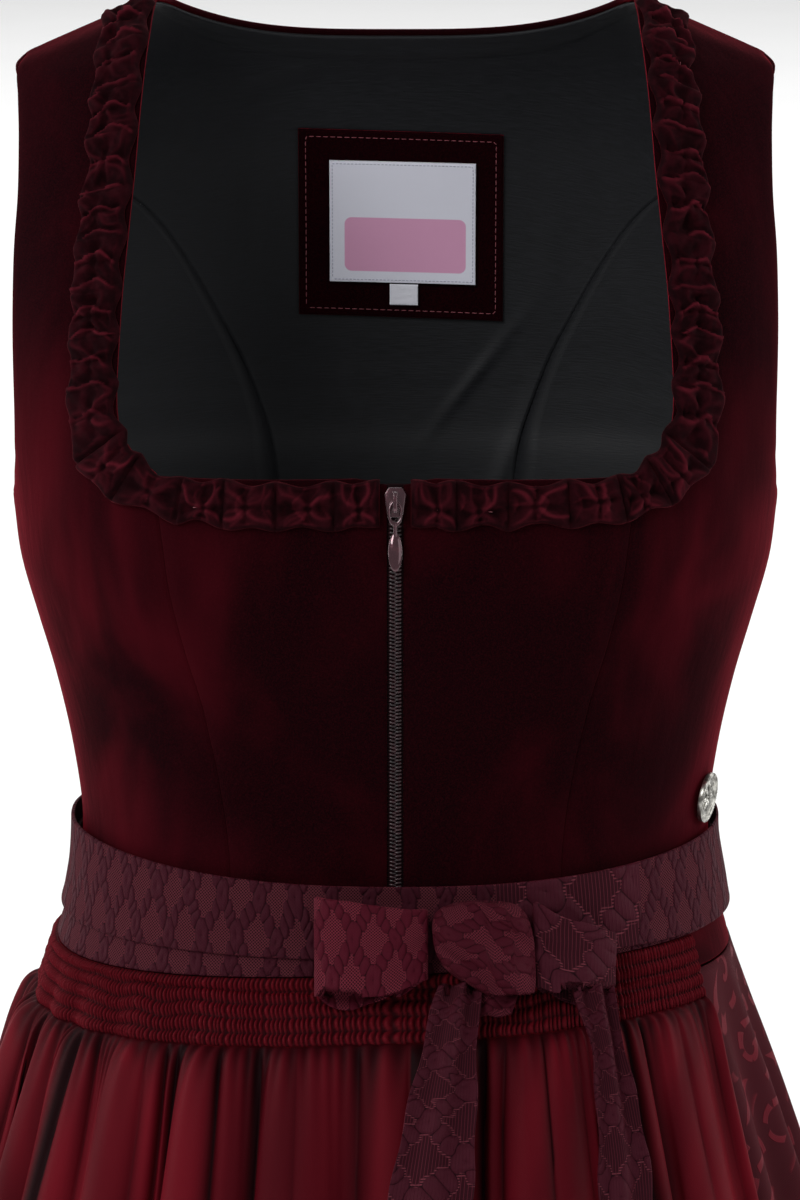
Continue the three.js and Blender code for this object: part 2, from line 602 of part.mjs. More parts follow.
// Rings of cloth round the waist, between two edges that are given as heights at each angle
const AROUND = 48;
const ringAngles = spaced(-Math.PI, Math.PI, AROUND);
const frontness = (angle) => Math.max(0, -Math.sin(angle)) ** 2;
function waistRing(top, bottom, out, thickness, rows) {
  const place = (angle, share, depth) => {
    return onDress(angle, rowAtHeight(lerp(bottom(angle), top(angle), share)), depth);
  };
  return wall(
    ringGrid(ringAngles, rows, (angle, share) => place(angle, share, out + thickness)),
    ringGrid(ringAngles, rows, (angle, share) => place(angle, share, out)),
    true,
  );
}
const BAND_OUT = 1.1;
const TIE_OUT = BAND_OUT + JACQUARD + GAP + 0.25;
const bandTop = (angle) => -344 - 8 * frontness(angle);
const bandBottom = (angle) => -380.5 + 6.5 * Math.cos(angle);
const tieTop = (angle) => -335.5 - 10 * frontness(angle);
const tieBottom = (angle) => -373.5 - 1.5 * frontness(angle);
const BAND_ROWS = [0, 0.5, 1];
addPiece("apron_waistband", waistRing(bandTop, bandBottom, BAND_OUT, JACQUARD, BAND_ROWS), JACQUARD_FINISH);
addPiece("tie", waistRing(tieTop, tieBottom, TIE_OUT, JACQUARD, BAND_ROWS), JACQUARD_FINISH);

// Bow, set on the front of the tie. Its pieces are shaped in the dress's own curved coordinates:
// distance from the centre line, height, and distance out of the bodice.
const BOW_OUT = TIE_OUT + JACQUARD + GAP + 0.3;
const KNOT = { x: 33, z: -371, half: 19, tall: 20.5, out: BOW_OUT + 8.6, deep: 8.6 };
const power = (value, exponent) => Math.sign(value) * Math.abs(value) ** exponent;
const knot = new THREE.SphereGeometry(1, 16, 9);
for (let i = 0; i < knot.attributes.position.count; i++) {
  const [x, y, z] = new THREE.Vector3().fromBufferAttribute(knot.attributes.position, i);
  const crease = 1 - 0.06 * Math.cos(7 * Math.atan2(y, x)) * (1 - z * z);
  const local = [power(x, 0.62), power(y, 0.62), power(z, 0.75)];
  const placed = faceAt(
    KNOT.x + KNOT.half * local[0] * crease,
    KNOT.z + KNOT.tall * local[1] * crease,
    KNOT.out + KNOT.deep * local[2],
    { foldShare: 0 },
  );
  knot.attributes.position.setXYZ(i, ...placed);
}
addPiece("bow_knot", knot, JACQUARD_FINISH);

// A loop is a flattened tube of cloth with an upright axis. from is its end at the knot and to its fold.
const LOOPS = [
  { name: "bow_loop_left", from: 12.7, to: -31, top: -348.5, bottom: -391, deep: 14 },
  { name: "bow_loop_right", from: 53.3, to: 79, top: -349, bottom: -389, deep: 12 },
];
const LOOP_COLUMNS = 24;
for (const { name, from, to, top, bottom, deep } of LOOPS) {
  const around = spaced(0, 2 * Math.PI, LOOP_COLUMNS);
  const place = (turn, share, inset) => {
    const reach = (1 - Math.cos(turn)) / 2;
    const half = lerp(4.6, deep / 2, clamp(reach * 1.6, 0, 1)) - inset;
    const length = Math.abs(to - from) / 2 - inset;
    const x = (from + to) / 2 - Math.sign(to - from) * length * power(Math.cos(turn), 0.8);
    const out = BOW_OUT + deep / 2 + half * power(Math.sin(turn), 0.7);
    const pinch = lerp(0.5, 1, clamp(reach * 1.5, 0, 1));
    const z = lerp((top + bottom) / 2, lerp(bottom, top, share), pinch);
    return faceAt(x, z, out, { foldShare: 0 });
  };
  const rows = spaced(0, 1, 3);
  const loop = wall(
    ringGrid(around, rows, (turn, share) => place(turn, share, 0)),
    ringGrid(around, rows, (turn, share) => place(turn, share, JACQUARD)),
    true,
  );
  addPiece(name, loop, JACQUARD_FINISH);
}

// Skirt: columns four to a fold, rows at the rings below the waist. Everything that lies over the skirt
// is built from the same facets, moved out.
const SIDES = 4;
const COLUMNS = FOLDS * SIDES;
const columnAngle = (column) => angleAtPhase((column / SIDES) * 2 * Math.PI);
const skirtColumns = spaced(0, COLUMNS, COLUMNS).map(columnAngle);
const skirtRows = [...rowsBetween(HEM_ROW, WAIST_ROW - 1), WAIST_ROW - 0.015];
function onSkirt(column, row, out) {
  const low = Math.floor(column + 1e-9);
  const lowRow = clamp(Math.floor(row), HEM_ROW, WAIST_ROW - 1);
  const corner = (i, j) => onDress(skirtColumns[((i % COLUMNS) + COLUMNS) % COLUMNS], j, out);
  const [lower, upper] = [lowRow, lowRow + 1].map((j) =>
    column - low < 1e-6 ? corner(low, j) : corner(low, j).lerp(corner(low + 1, j), column - low),
  );
  return lower.lerp(upper, row - lowRow);
}
// Two widths of cloth, joined at the sides
const LEFT_SEAM = COLUMNS / 2;
const skirtWidths = { skirt_back: [0, LEFT_SEAM], skirt_front: [LEFT_SEAM, COLUMNS] };
for (const [name, [from, to]] of Object.entries(skirtWidths)) {
  const columns = [from + 0.03, ...rowsBetween(from + 1, to - 1), to - 0.03];
  addPiece(
    name,
    wall(
      grid(columns, skirtRows, (column, row) => onSkirt(column, row, 0)),
      grid(columns, skirtRows, (column, row) => onSkirt(column, row, -BROCADE)),
    ),
    BROCADE_FINISH,
  );
}

// Apron: a smocked yoke under the waistband, and the gathered width below it. The yoke's cords raise
// gathers in its outer face; the width has two folds to each fold of the skirt.
const phaseColumn = (angle) => Math.round((foldPhase(angle) / (2 * Math.PI)) * SIDES);
const APRON_FROM = phaseColumn(degToRad(-190));
const APRON_TO = phaseColumn(degToRad(-30));
const YOKE_DEEP = 25;
const YOKE_OUT = 1.3;
const YOKE_GATHERS = 50;
const YOKE_CORDS = 5;
const yokeTop = (angle) => bandBottom(angle) - GAP;
const yokeBottom = (angle) => yokeTop(angle) - YOKE_DEEP;
const [apronLeft, apronRight] = [APRON_FROM, APRON_TO].map(columnAngle);
const yokeAngles = spaced(apronLeft, apronRight, 2 * YOKE_GATHERS);
const yokeRows = spaced(0, 1, YOKE_CORDS);
const yokePlace = (angle, share, out) =>
  onDress(angle, rowAtHeight(lerp(yokeBottom(angle), yokeTop(angle), share)), out);
const yokeOuter = yokeRows.map((share) =>
  yokeAngles.map((angle, i) => yokePlace(angle, share, YOKE_OUT + CHIFFON + (i % 2) * 1.5)),
);
const yokeInner = grid(spaced(apronLeft, apronRight, YOKE_GATHERS), spaced(0, 1, 2), (angle, share) =>
  yokePlace(angle, share, YOKE_OUT),
);
addPiece("apron_yoke", wall(yokeOuter, yokeInner), CHIFFON_FINISH);

const APRON_HEM = -1000;
const APRON_OUT = 1.4;
const FOLD_PARTS = 2;
const apronColumns = spaced(APRON_FROM, APRON_TO, FOLD_PARTS * (APRON_TO - APRON_FROM));
const apronRows = [rowAtHeight(APRON_HEM), ...rowsBetween(HEM_ROW + 1, WAIST_ROW - 1), "top"];
const apronFold = (column) => (1 + Math.cos(Math.PI * column)) / 2;
function apronPoint(column, row, thickness) {
  const top = rowAtHeight(yokeBottom(columnAngle(column)) - GAP);
  const actualRow = row === "top" ? top : row;
  const depth = clamp((top - actualRow) * 4, 0.6, 5);
  return onSkirt(column, actualRow, APRON_OUT + depth * apronFold(column) + thickness);
}
addPiece(
  "apron_skirt",
  wall(
    grid(apronColumns, apronRows, (column, row) => apronPoint(column, row, CHIFFON)),
    grid(apronColumns, apronRows, (column, row) => apronPoint(column, row, 0)),
  ),
  CHIFFON_FINISH,
);

// Tails of the bow, hanging over the apron. x is the middle of the tail and half its half width.
const TAILS = {
  tail_left: [
    { z: -392, x: 26, half: 12 },
    { z: -415, x: 22, half: 13.5 },
    { z: -450, x: 15, half: 16 },
    { z: -520, x: 5, half: 18 },
    { z: -640, x: -6, half: 19 },
    { z: -790, x: -14, half: 19.5 },
  ],
  tail_right: [
    { z: -392, x: 74, half: 7 },
    { z: -415, x: 78, half: 6 },
    { z: -450, x: 80, half: 8 },
    { z: -520, x: 82, half: 12 },
    { z: -640, x: 88, half: 16 },
    { z: -790, x: 94, half: 18 },
  ],
};
const TAIL_OUT = APRON_OUT + CHIFFON + 4.7;
for (const [name, stations] of Object.entries(TAILS)) {
  const middle = new THREE.CatmullRomCurve3(stations.map(({ x, z, half }) => new THREE.Vector3(x, half, z)));
  const rows = spaced(0, 1, 10);
  const columns = spaced(-1, 1, 6);
  const place = (across, share, thickness) => {
    const { x, y: half, z } = middle.getPoint(share);
    const wave = 1.3 * (1 + Math.cos(across * Math.PI * 1.5 + 2 * share));
    const out = TAIL_OUT + ringValue("fold", rowAtHeight(z)) + wave + thickness;
    return faceAt(x + half * across, z, out, { foldShare: 0 });
  };
  addPiece(
    name,
    wall(
      grid(columns, rows, (across, share) => place(across, share, JACQUARD)),
      grid(columns, rows, (across, share) => place(across, share, 0)),
    ),
    JACQUARD_FINISH,
  );
}

export default dress;
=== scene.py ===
import json
import math

import bpy
import numpy as np
from mathutils import Matrix, Vector

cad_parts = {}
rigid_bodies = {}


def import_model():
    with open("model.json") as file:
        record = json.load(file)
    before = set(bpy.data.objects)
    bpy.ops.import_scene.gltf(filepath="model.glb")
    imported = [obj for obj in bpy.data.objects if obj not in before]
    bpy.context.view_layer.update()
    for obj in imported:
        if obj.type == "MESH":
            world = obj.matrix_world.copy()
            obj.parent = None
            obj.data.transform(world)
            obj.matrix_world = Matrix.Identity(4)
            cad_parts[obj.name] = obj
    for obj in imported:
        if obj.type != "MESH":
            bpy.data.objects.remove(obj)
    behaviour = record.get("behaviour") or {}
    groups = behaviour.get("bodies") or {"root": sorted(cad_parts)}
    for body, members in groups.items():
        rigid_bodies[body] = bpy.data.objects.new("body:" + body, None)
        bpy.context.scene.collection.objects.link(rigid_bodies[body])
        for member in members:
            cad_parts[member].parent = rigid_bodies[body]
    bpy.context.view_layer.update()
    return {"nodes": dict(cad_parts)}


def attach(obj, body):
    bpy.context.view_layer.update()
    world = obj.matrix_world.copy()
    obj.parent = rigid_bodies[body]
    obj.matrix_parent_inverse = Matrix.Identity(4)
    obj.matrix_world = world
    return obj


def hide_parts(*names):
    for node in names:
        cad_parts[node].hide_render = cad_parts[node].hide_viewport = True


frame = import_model()
bpy.ops.object.select_all(action="DESELECT")

# Bodice lining. Seven panels of matt charcoal cotton, sewn at the side, princess and back seams. The
# lining is turned in and caught to the velvet along the neckline, which leaves a soft ridge a finger's
# width below the edge.
MM = 0.001

# Horizontal rings of the dress from the hem to the shoulder ridge, in millimetres: half widths to the
# side, front and back, the superellipse exponent, and the height of the skirt's folds. The seams and
# edges of the bodice start at the ring that comes first in their pair.
WAIST, UNDERARM, NECKLINE, APEX, RIDGE = 6, 13, 15, 20, 24
LEVEL = [-1039, -860, -690, -550, -460, -415, -389, -366, -337, -306, -275, -250, -226, -205, -192,
         -179, -171, -155, -115, -84, -60, -36, -17, -5, 0]
SIDE = [300, 260, 221, 187, 160.5, 146.5, 138.5, 132.5, 129, 132.5, 139, 146, 152.5, 155, 156.5,
        158.5, 160, 161.5, 164, 164, 163, 161.5, 160, 159, 153.5]
FRONT = [264, 228, 193, 161, 136, 116, 97, 90.5, 87, 89, 97, 104.5, 109.5, 110, 107,
         103.5, 101.5, 97.5, 87, 77, 67.5, 55.5, 40, 21.5, 0.17]
BACK = [272, 235, 198, 165, 140, 116, 89, 82, 77.5, 78.5, 83, 87, 90, 92, 94,
        95, 95.3, 95.5, 94.5, 91, 85, 73, 54, 30, 0.17]
SQUARE = [2, 2, 2, 2.05, 2.15, 2.25, 2.35] + [2.4] * 6 + [2.45] + [2.5] * 11
FOLD = [15, 13, 10.5, 7.5, 4.4, 1.6] + [0] * 19
FRONT_SEAM = [67, 66, 66.5, 70, 76, 83, 88.5, 91.5, 93, 93]
BACK_SEAM = [48, 46.5, 46, 46.5, 47.5, 48.5, 49.5, 51.5, 54.5, 59, 62, 69, 91, 115, 151.2]
NECK = [93, 102.5, 109.5, 108, 105, 102.5, 100.5, 98.5, 97, 96]
ARM_FRONT = [0, 30, 39, 42, 43.5, 42, 38, 34, 27, 18, 9, 0]
ARM_BACK = [0, 33, 43, 46, 48, 48.5, 46, 41, 32, 22, 11, 0]


def spans(values, first=0):
    """For each stretch between two rings, the value at both ends and the slope there."""
    rows = [None] * first + list(values) + [None] * (RIDGE + 1 - first - len(values))
    found = []
    for low in range(RIDGE):
        here = rows[low]
        if here is None:
            found.append([math.nan] * 4)
            continue
        above = here if rows[low + 1] is None else rows[low + 1]
        below = (low not in (0, WAIST) and rows[low - 1]) or 2 * here - above
        beyond = (low + 1 not in (RIDGE, WAIST) and rows[low + 2]) or 2 * above - here
        found.append([here, above, (above - below) / 2, (beyond - here) / 2])
    return np.array(found)


RING = {
    "level": spans(LEVEL), "side": spans(SIDE), "front": spans(FRONT), "back": spans(BACK),
    "square": spans(SQUARE), "fold": spans(FOLD), "front_seam": spans(FRONT_SEAM, WAIST),
    "back_seam": spans(BACK_SEAM, WAIST), "neck": spans(NECK, NECKLINE),
    "arm_front": spans(ARM_FRONT, UNDERARM), "arm_back": spans(ARM_BACK, UNDERARM),
}


def ring(name, row):
    """A column of the ring table at any row, on a smooth curve through the rings."""
    row = np.asarray(row, float)
    low = np.clip(np.floor(row), 0, RIDGE - 1).astype(int)
    share = row - low
    here, above, slope, slope_above = np.moveaxis(RING[name][low], -1, 0)
    square, cube = share**2, share**3
    return (
        here * (2 * cube - 3 * square + 1) + slope * (cube - 2 * square + share)
        + above * (3 * square - 2 * cube) + slope_above * (cube - square)
    )


FOLDS = 25


def fold_phase(angle):
    return FOLDS * (angle + 0.045 * (np.sin(3 * angle + 1) + np.sin(7 * angle) / 2))


def power_of(value, exponent):
    return np.sign(value) * np.abs(value) ** exponent


def face_point(angle, row, fold_share):
    """A point of the outer face. Angle 0 is the viewer's right, and a quarter turn back the front."""
    angle, row = np.broadcast_arrays(np.asarray(angle, float), np.asarray(row, float))
    power = 2 / ring("square", row)
    cos, sin = np.cos(angle), np.sin(angle)
    depth = np.where(sin < 0, ring("front", row), ring("back", row))
    uneven = 0.78 + 0.22 * np.sin(5 * angle + 2)
    wave = fold_share * ring("fold", row) * uneven * np.cos(fold_phase(angle))
    x = ring("side", row) * power_of(cos, power) + wave * cos
    on_ridge = depth * np.sign(sin)
    y = np.where(row < RIDGE, depth * power_of(sin, power) + wave * sin, on_ridge)
    level = ring("level", row)
    slope = np.clip((np.abs(x) - NECK[-1]) / (SIDE[-1] - NECK[-1]), 0, 1.05)
    rise = np.clip(1 - level / LEVEL[UNDERARM], 0, 1)
    return np.stack([x, y, level - 25 * slope * rise], -1)


def on_dress(angle, row, out=0.0, fold_share=1.0):
    """The same point moved out along the face's normal, which is upright on the shoulder ridge."""
    step = 1e-3
    angle, row, out = np.broadcast_arrays(
        np.asarray(angle, float), np.asarray(row, float), np.asarray(out, float)
    )
    around = face_point(angle + step, row, fold_share) - face_point(angle - step, row, fold_share)
    up = face_point(angle, row + step, fold_share) - face_point(angle, row - step, fold_share)
    zero = np.zeros_like(angle)
    upright = np.stack([-around[..., 2], zero, around[..., 0]], -1) * np.sign(around[..., :1])
    normal = np.where(row[..., None] >= RIDGE, upright, np.cross(around, up))
    normal = normal / np.linalg.norm(normal, axis=-1, keepdims=True)
    return face_point(angle, row, fold_share) + normal * out[..., None]


def angle_of_x(x, row):
    return np.arccos(np.minimum(1, np.abs(x) / ring("side", row)) ** (ring("square", row) / 2))


def angle_of_depth(depth, row, face):
    return np.arcsin(np.minimum(1, np.abs(depth) / ring(face, row)) ** (ring("square", row) / 2))


ALL_ROWS = np.linspace(0, RIDGE - 1e-6, 9601)
ALL_LEVELS = ring("level", ALL_ROWS)


def row_at(z):
    return np.interp(z, ALL_LEVELS, ALL_ROWS)


def face_at(x, z, out=0.0, back=False, fold_share=1.0):
    """Points of the front or back face at a distance from the centre line and at a ring's height."""
    x, z = np.broadcast_arrays(np.asarray(x, float), np.asarray(z, float))
    row = row_at(z)
    turned = angle_of_x(x, row)
    turned = np.where(x < 0, math.pi - turned, turned)
    return on_dress(turned if back else -turned, row, out, fold_share)


def between(first, last, share):
    return first + (last - first) * share


def bell(away, width):
    """1 at the middle, falling off smoothly to both sides."""
    return np.exp(-((away / width) ** 2))


def ramp(value, width):
    """From 0 to 1 over a width."""
    return np.clip(value / width, 0, 1)


def rounded(length, count, radius=0.9):
    """Shares of a length with its two ends rounded over, and how far the cloth sinks at each."""
    steps = np.array([0, 0.06, 0.2, 0.42, 0.7]) * radius / length
    flat = np.linspace(radius / length, 1 - radius / length, count)
    shares = np.concatenate([steps, flat, 1 - steps[::-1]])
    inside = np.clip(1 - np.minimum(shares, 1 - shares) * length / radius, 0, 1)
    return shares, radius * (1 - np.sqrt(1 - inside**2))


def lengths(grid):
    """Distances along the lines of a grid, across from the middle column and up from the first row."""
    across = np.linalg.norm(np.diff(grid, axis=1), axis=-1)
    across = np.concatenate([np.zeros((len(grid), 1)), np.cumsum(across, 1)], 1)
    up = np.linalg.norm(np.diff(grid, axis=0), axis=-1)
    up = np.concatenate([np.zeros((1, grid.shape[1])), np.cumsum(up, 0)], 0)
    return across - across[:, grid.shape[1] // 2, None], up


def mirrored(grid):
    return grid * np.array([-1, 1, 1])


def shell(name, outer, inner, ring_shaped=False, uv=None, depth=None, hand=1):
    """A closed wall of cloth between two grids, mirrored for the left hand. It holds its UV map in
    millimetres and, where given, the painted light and shade of its folds."""
    if hand < 0:
        outer, inner = mirrored(outer), mirrored(inner)
    rows, columns = outer.shape[:2]
    width = columns - 1 if ring_shaped else columns
    count = rows * width
    j, i = (part.ravel() for part in np.mgrid[0 : rows - 1, 0 : columns - 1])
    face = np.stack([np.stack([j, i], -1), np.stack([j, i + 1], -1),
                     np.stack([j + 1, i + 1], -1), np.stack([j + 1, i], -1)], 1)
    inside = face[:, ::-1]
    layers = [(face, np.zeros((len(face), 4), int)), (inside, np.ones((len(face), 4), int))]
    line = np.arange(columns - 1)
    bottom, top = np.zeros_like(line), np.full_like(line, rows - 1)
    edges = [(bottom, line + 1, bottom, line), (top, line, top, line + 1)]
    if not ring_shaped:
        line = np.arange(rows - 1)
        left, right = np.zeros_like(line), np.full_like(line, columns - 1)
        edges += [(line, left, line + 1, left), (line + 1, right, line, right)]
    for a, b, c, d in edges:
        first, second = np.stack([a, b], -1), np.stack([c, d], -1)
        corners = np.stack([first, second, second, first], 1)
        layers.append((corners, np.tile([0, 0, 1, 1], (len(a), 1))))
    corners = np.concatenate([layer[0] for layer in layers])
    side = np.concatenate([layer[1] for layer in layers])
    quads = side * count + corners[..., 0] * width + corners[..., 1] % width
    points = np.concatenate([outer[:, :width].reshape(-1, 3), inner[:, :width].reshape(-1, 3)])
    a, b, c, d = (points[quads[:, k]] for k in range(4))
    volume = np.sum(a * np.cross(b, c)) + np.sum(a * np.cross(c, d))
    if volume < 0:
        quads, corners = quads[:, ::-1], corners[:, ::-1]
    mesh = bpy.data.meshes.new(name)
    mesh.from_pydata((points * MM).tolist(), [], quads.tolist())
    across, up = uv if uv is not None else lengths(outer)
    layer = mesh.uv_layers.new(name="cloth")
    at = corners.reshape(-1, 2)
    flat = np.stack([way[at[:, 0], at[:, 1]] for way in (across, up)], -1)
    layer.data.foreach_set("uv", flat.ravel())
    # The painted light and shade of the folds, kept as an attribute that the finishes read
    if depth is not None:
        stands = np.broadcast_to(depth, outer.shape[:2])[:, :width].ravel()
        folds = mesh.attributes.new("painted_fold_light_and_shade", "FLOAT", "POINT")
        folds.data.foreach_set("value", np.concatenate([stands, 0 * stands]).astype(np.float32))
    mesh.shade_smooth()
    piece = bpy.data.objects.new(name, mesh)
    bpy.context.scene.collection.objects.link(piece)
    return piece


def sew_in(piece, finish, slot, *nodes, body="dress"):
    """Gives a piece its finish and its place on the dress, in the stead of its nodes."""
    piece.data.materials.clear()
    piece.data.materials.append(finish)
    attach(piece, body)
    if nodes:
        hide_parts(*nodes)
    return piece


class Finish:
    """A material that is put together from nodes."""

    def __init__(self, name, **sockets):
        self.material = bpy.data.materials.new(name)
        self.material.use_nodes = True
        self.tree = self.material.node_tree
        self.shader = self.tree.nodes["Principled BSDF"]
        for socket, value in sockets.items():
            self.shader.inputs[socket.replace("_", " ")].default_value = value

    def node(self, kind, inputs=None, **settings):
        made = self.tree.nodes.new(kind)
        for setting, value in settings.items():
            setattr(made, setting, value)
        for socket, value in (inputs or {}).items():
            self.give(made.inputs[socket], value)
        return made

    def give(self, socket, value):
        if isinstance(value, bpy.types.NodeSocket):
            self.tree.links.new(value, socket)
        else:
            socket.default_value = value

    def math(self, operation, *values, clamped=False):
        made = self.node("ShaderNodeMath", operation=operation, use_clamp=clamped)
        for socket, value in zip(made.inputs, values):
            self.give(socket, value)
        return made.outputs[0]

    def times(self, *values):
        return self.math("MULTIPLY", *values)

    def plus(self, *values):
        return self.math("ADD", *values)

    def wave(self, value, pitch):
        return self.math("SINE", self.times(value, 2 * math.pi / pitch))

    def objects(self):
        return self.node("ShaderNodeTexCoord").outputs["Object"]

    def cloth(self):
        """Millimetres across and along the cloth."""
        uv = self.node("ShaderNodeUVMap", uv_map="cloth").outputs[0]
        parts = self.node("ShaderNodeSeparateXYZ", {"Vector": uv})
        return uv, parts.outputs[0], parts.outputs[1]

    def folds(self):
        """Painted light and shade of the folds: from 0, painted shade in the bottom of a fold, to 1,
        painted light on its crest.
        """
        return self.node("ShaderNodeAttribute", attribute_name="painted_fold_light_and_shade").outputs["Fac"]

    def scaled(self, vector, *scale):
        return self.node("ShaderNodeMapping", {"Vector": vector, "Scale": scale}).outputs[0]

    def noise(self, vector, scale, detail=2.0, distortion=0.0):
        inputs = {"Vector": vector, "Scale": scale, "Detail": detail, "Distortion": distortion}
        return self.node("ShaderNodeTexNoise", inputs).outputs["Fac"]

    def step(self, value, low, high, first=0.0, last=1.0):
        inputs = {"Value": value, "From Min": low, "From Max": high, "To Min": first, "To Max": last}
        return self.node("ShaderNodeMapRange", inputs, interpolation_type="SMOOTHSTEP").outputs[0]

    def mix(self, share, first, second):
        made = self.node("ShaderNodeMix", data_type="RGBA")
        for socket, value in ((0, share), (6, first), (7, second)):
            self.give(made.inputs[socket], value)
        return made.outputs[2]

    def bump(self, height, distance, strength=1.0):
        inputs = {"Height": height, "Distance": distance * MM, "Strength": strength}
        return self.node("ShaderNodeBump", inputs).outputs[0]

    def done(self, color=None, normal=None, roughness=None):
        for socket, value in (("Base Color", color), ("Normal", normal), ("Roughness", roughness)):
            if value is not None:
                self.give(self.shader.inputs[socket], value)
        return self.material


def shade(hexed):
    """The linear colour of a hex triple."""
    parts = [int(hexed[k : k + 2], 16) / 255 for k in (0, 2, 4)]
    return tuple(p / 12.92 if p < 0.04045 else ((p + 0.055) / 1.055) ** 2.4 for p in parts) + (1.0,)


lining_cloth = Finish("charcoal_cotton_lining", Specular_IOR_Level=0.25, Sheen_Weight=0.08,
                      Sheen_Roughness=0.4)
uv, across, along = lining_cloth.cloth()
twill = lining_cloth.wave(lining_cloth.plus(across, along), 0.55)
slubs = lining_cloth.noise(lining_cloth.scaled(uv, 0.02, 0.25, 1), 6.0, 3.0)
lining_finish = lining_cloth.done(
    lining_cloth.mix(lining_cloth.step(slubs, 0.35, 0.7), shade("0d0e11"), shade("15161a")),
    lining_cloth.bump(lining_cloth.plus(lining_cloth.times(twill, 0.08), slubs), 0.12, 0.5),
    lining_cloth.step(slubs, 0.3, 0.7, 0.5, 0.62),
)

VELVET_THICK, LINING_THICK, CLOTH_GAP = 1.8, 1.0, 0.3
ZIP_EDGE, ZIP_TAPE = 3.3, 13.0


def inset_angle(angle, row, distance):
    step = 1e-3
    along_ring = on_dress(angle + step, row) - on_dress(angle - step, row)
    return angle + distance * 2 * step / np.linalg.norm(along_ring, axis=-1)


TIP_ROW, TIP_DRAWN_IN, NECK_ROW_TALL = 22, 5.5, 13


def side_edge(row, column, face):
    armhole = np.maximum(0.004, angle_of_depth(ring(column, np.maximum(row, UNDERARM)), row, face))
    drawn_in = TIP_DRAWN_IN * ramp(row - TIP_ROW, 2) ** 3
    rounded_tip = np.where(row > TIP_ROW, angle_of_x(ring("side", row) - drawn_in, row), 0)
    return np.where(row > UNDERARM, np.maximum(armhole, rounded_tip), 0)


def front_seam(row):
    return -angle_of_x(ring("front_seam", np.minimum(row, NECKLINE - 1e-9)), row)


def centre_front_place(zip_edge):
    def place(column, share, out, turned_in=0.0):
        shaped_from = NECKLINE - 2
        row = between(WAIST + 0.015, NECKLINE, share)
        top = NECKLINE + 0.16 * (1 - column) ** 3 - 0.28 * np.maximum(0, 1 - column * 14)
        over = np.maximum(0, row - shaped_from) / 2
        row = np.where(row <= shaped_from, row, between(shaped_from, top - turned_in / NECK_ROW_TALL, over))
        return on_dress(between(-angle_of_x(zip_edge, row), front_seam(row), column), row, out)
    return place


def side_front_place(column, share, out, turned_in=0.0):
    row = between(WAIST + 0.015, RIDGE, share)
    neck = -angle_of_x(ring("neck", np.maximum(row, NECKLINE)), row)
    turned_in = turned_in * ramp(row - NECKLINE + 1, 1)
    first = inset_angle(np.where(row < NECKLINE, front_seam(row), neck), row, turned_in)
    last = inset_angle(-side_edge(row, "arm_front", "front"), row, -turned_in)
    return on_dress(between(first, last, column), row, out)


def side_back_place(column, share, out, turned_in=0.0):
    row = between(WAIST + 0.015, APEX, share)
    first, last = side_edge(row, "arm_back", "back"), angle_of_x(ring("back_seam", row), row)
    return on_dress(between(first, last, column), row, out)


NECK_COLUMN, BACK_NECK_DROP = 0.72, 19.7


def centre_back_place(column, share, out, turned_in=0.0):
    side = 2 * column - 1
    reach = np.abs(side)
    row = between(WAIST + 0.015, RIDGE, share)
    dip = row_at(-BACK_NECK_DROP * (1 - np.minimum(1, reach / NECK_COLUMN) ** 2.6) - turned_in)
    top = np.where(reach / NECK_COLUMN < 0.999, dip, RIDGE)
    row = np.where(row <= APEX, row, between(APEX, top, (row - APEX) / (RIDGE - APEX)))
    seam = angle_of_x(ring("back_seam", np.minimum(row, APEX)), row)
    edge = np.where(row < APEX + 0.01, seam, side_edge(row, "arm_back", "back"))
    edge = np.minimum(edge, math.pi / 2)
    straight = between(math.pi / 2, edge, reach)
    neck = angle_of_x(NECK[-1], row)
    bent = np.where(
        reach < NECK_COLUMN,
        between(math.pi / 2, neck, reach / NECK_COLUMN),
        between(neck, edge, (reach - NECK_COLUMN) / (1 - NECK_COLUMN)),
    )
    angle = between(straight, bent, ramp(row - APEX + 3, 3))
    return on_dress(np.where(side < 0, angle, math.pi - angle), row, out)


# Each panel's place, its width and height in the grid's own millimetres, and the quads across and up
PANELS = {
    "centre_front": (centre_front_place, 72, 100, 26, 60),
    "side_front": (side_front_place, 60, 380, 24, 110),
    "side_back": (side_back_place, 90, 240, 22, 84),
    "centre_back": (centre_back_place, 160, 420, 60, 110),
}


def cut(outer):
    """The cut that a grid of cloth was made from: flat width and height, and area, in metres."""
    across, up = lengths(outer)
    diagonals = outer[1:, 1:] - outer[:-1, :-1], outer[1:, :-1] - outer[:-1, 1:]
    area = np.linalg.norm(np.cross(*diagonals), axis=-1).sum() / 2
    width, height = np.ptp(across, axis=1).max(), up.max()
    return {"flat": (width * MM, height * MM), "area": min(area, width * height) * MM**2}


def panel_place(name, zip_edge):
    place = PANELS[name][0]
    return place(zip_edge) if name == "centre_front" else place


def panel_pair(name):
    return [("", 1)] if name == "centre_back" else [("_right", 1), ("_left", -1)]


TURNED_IN = 1.4
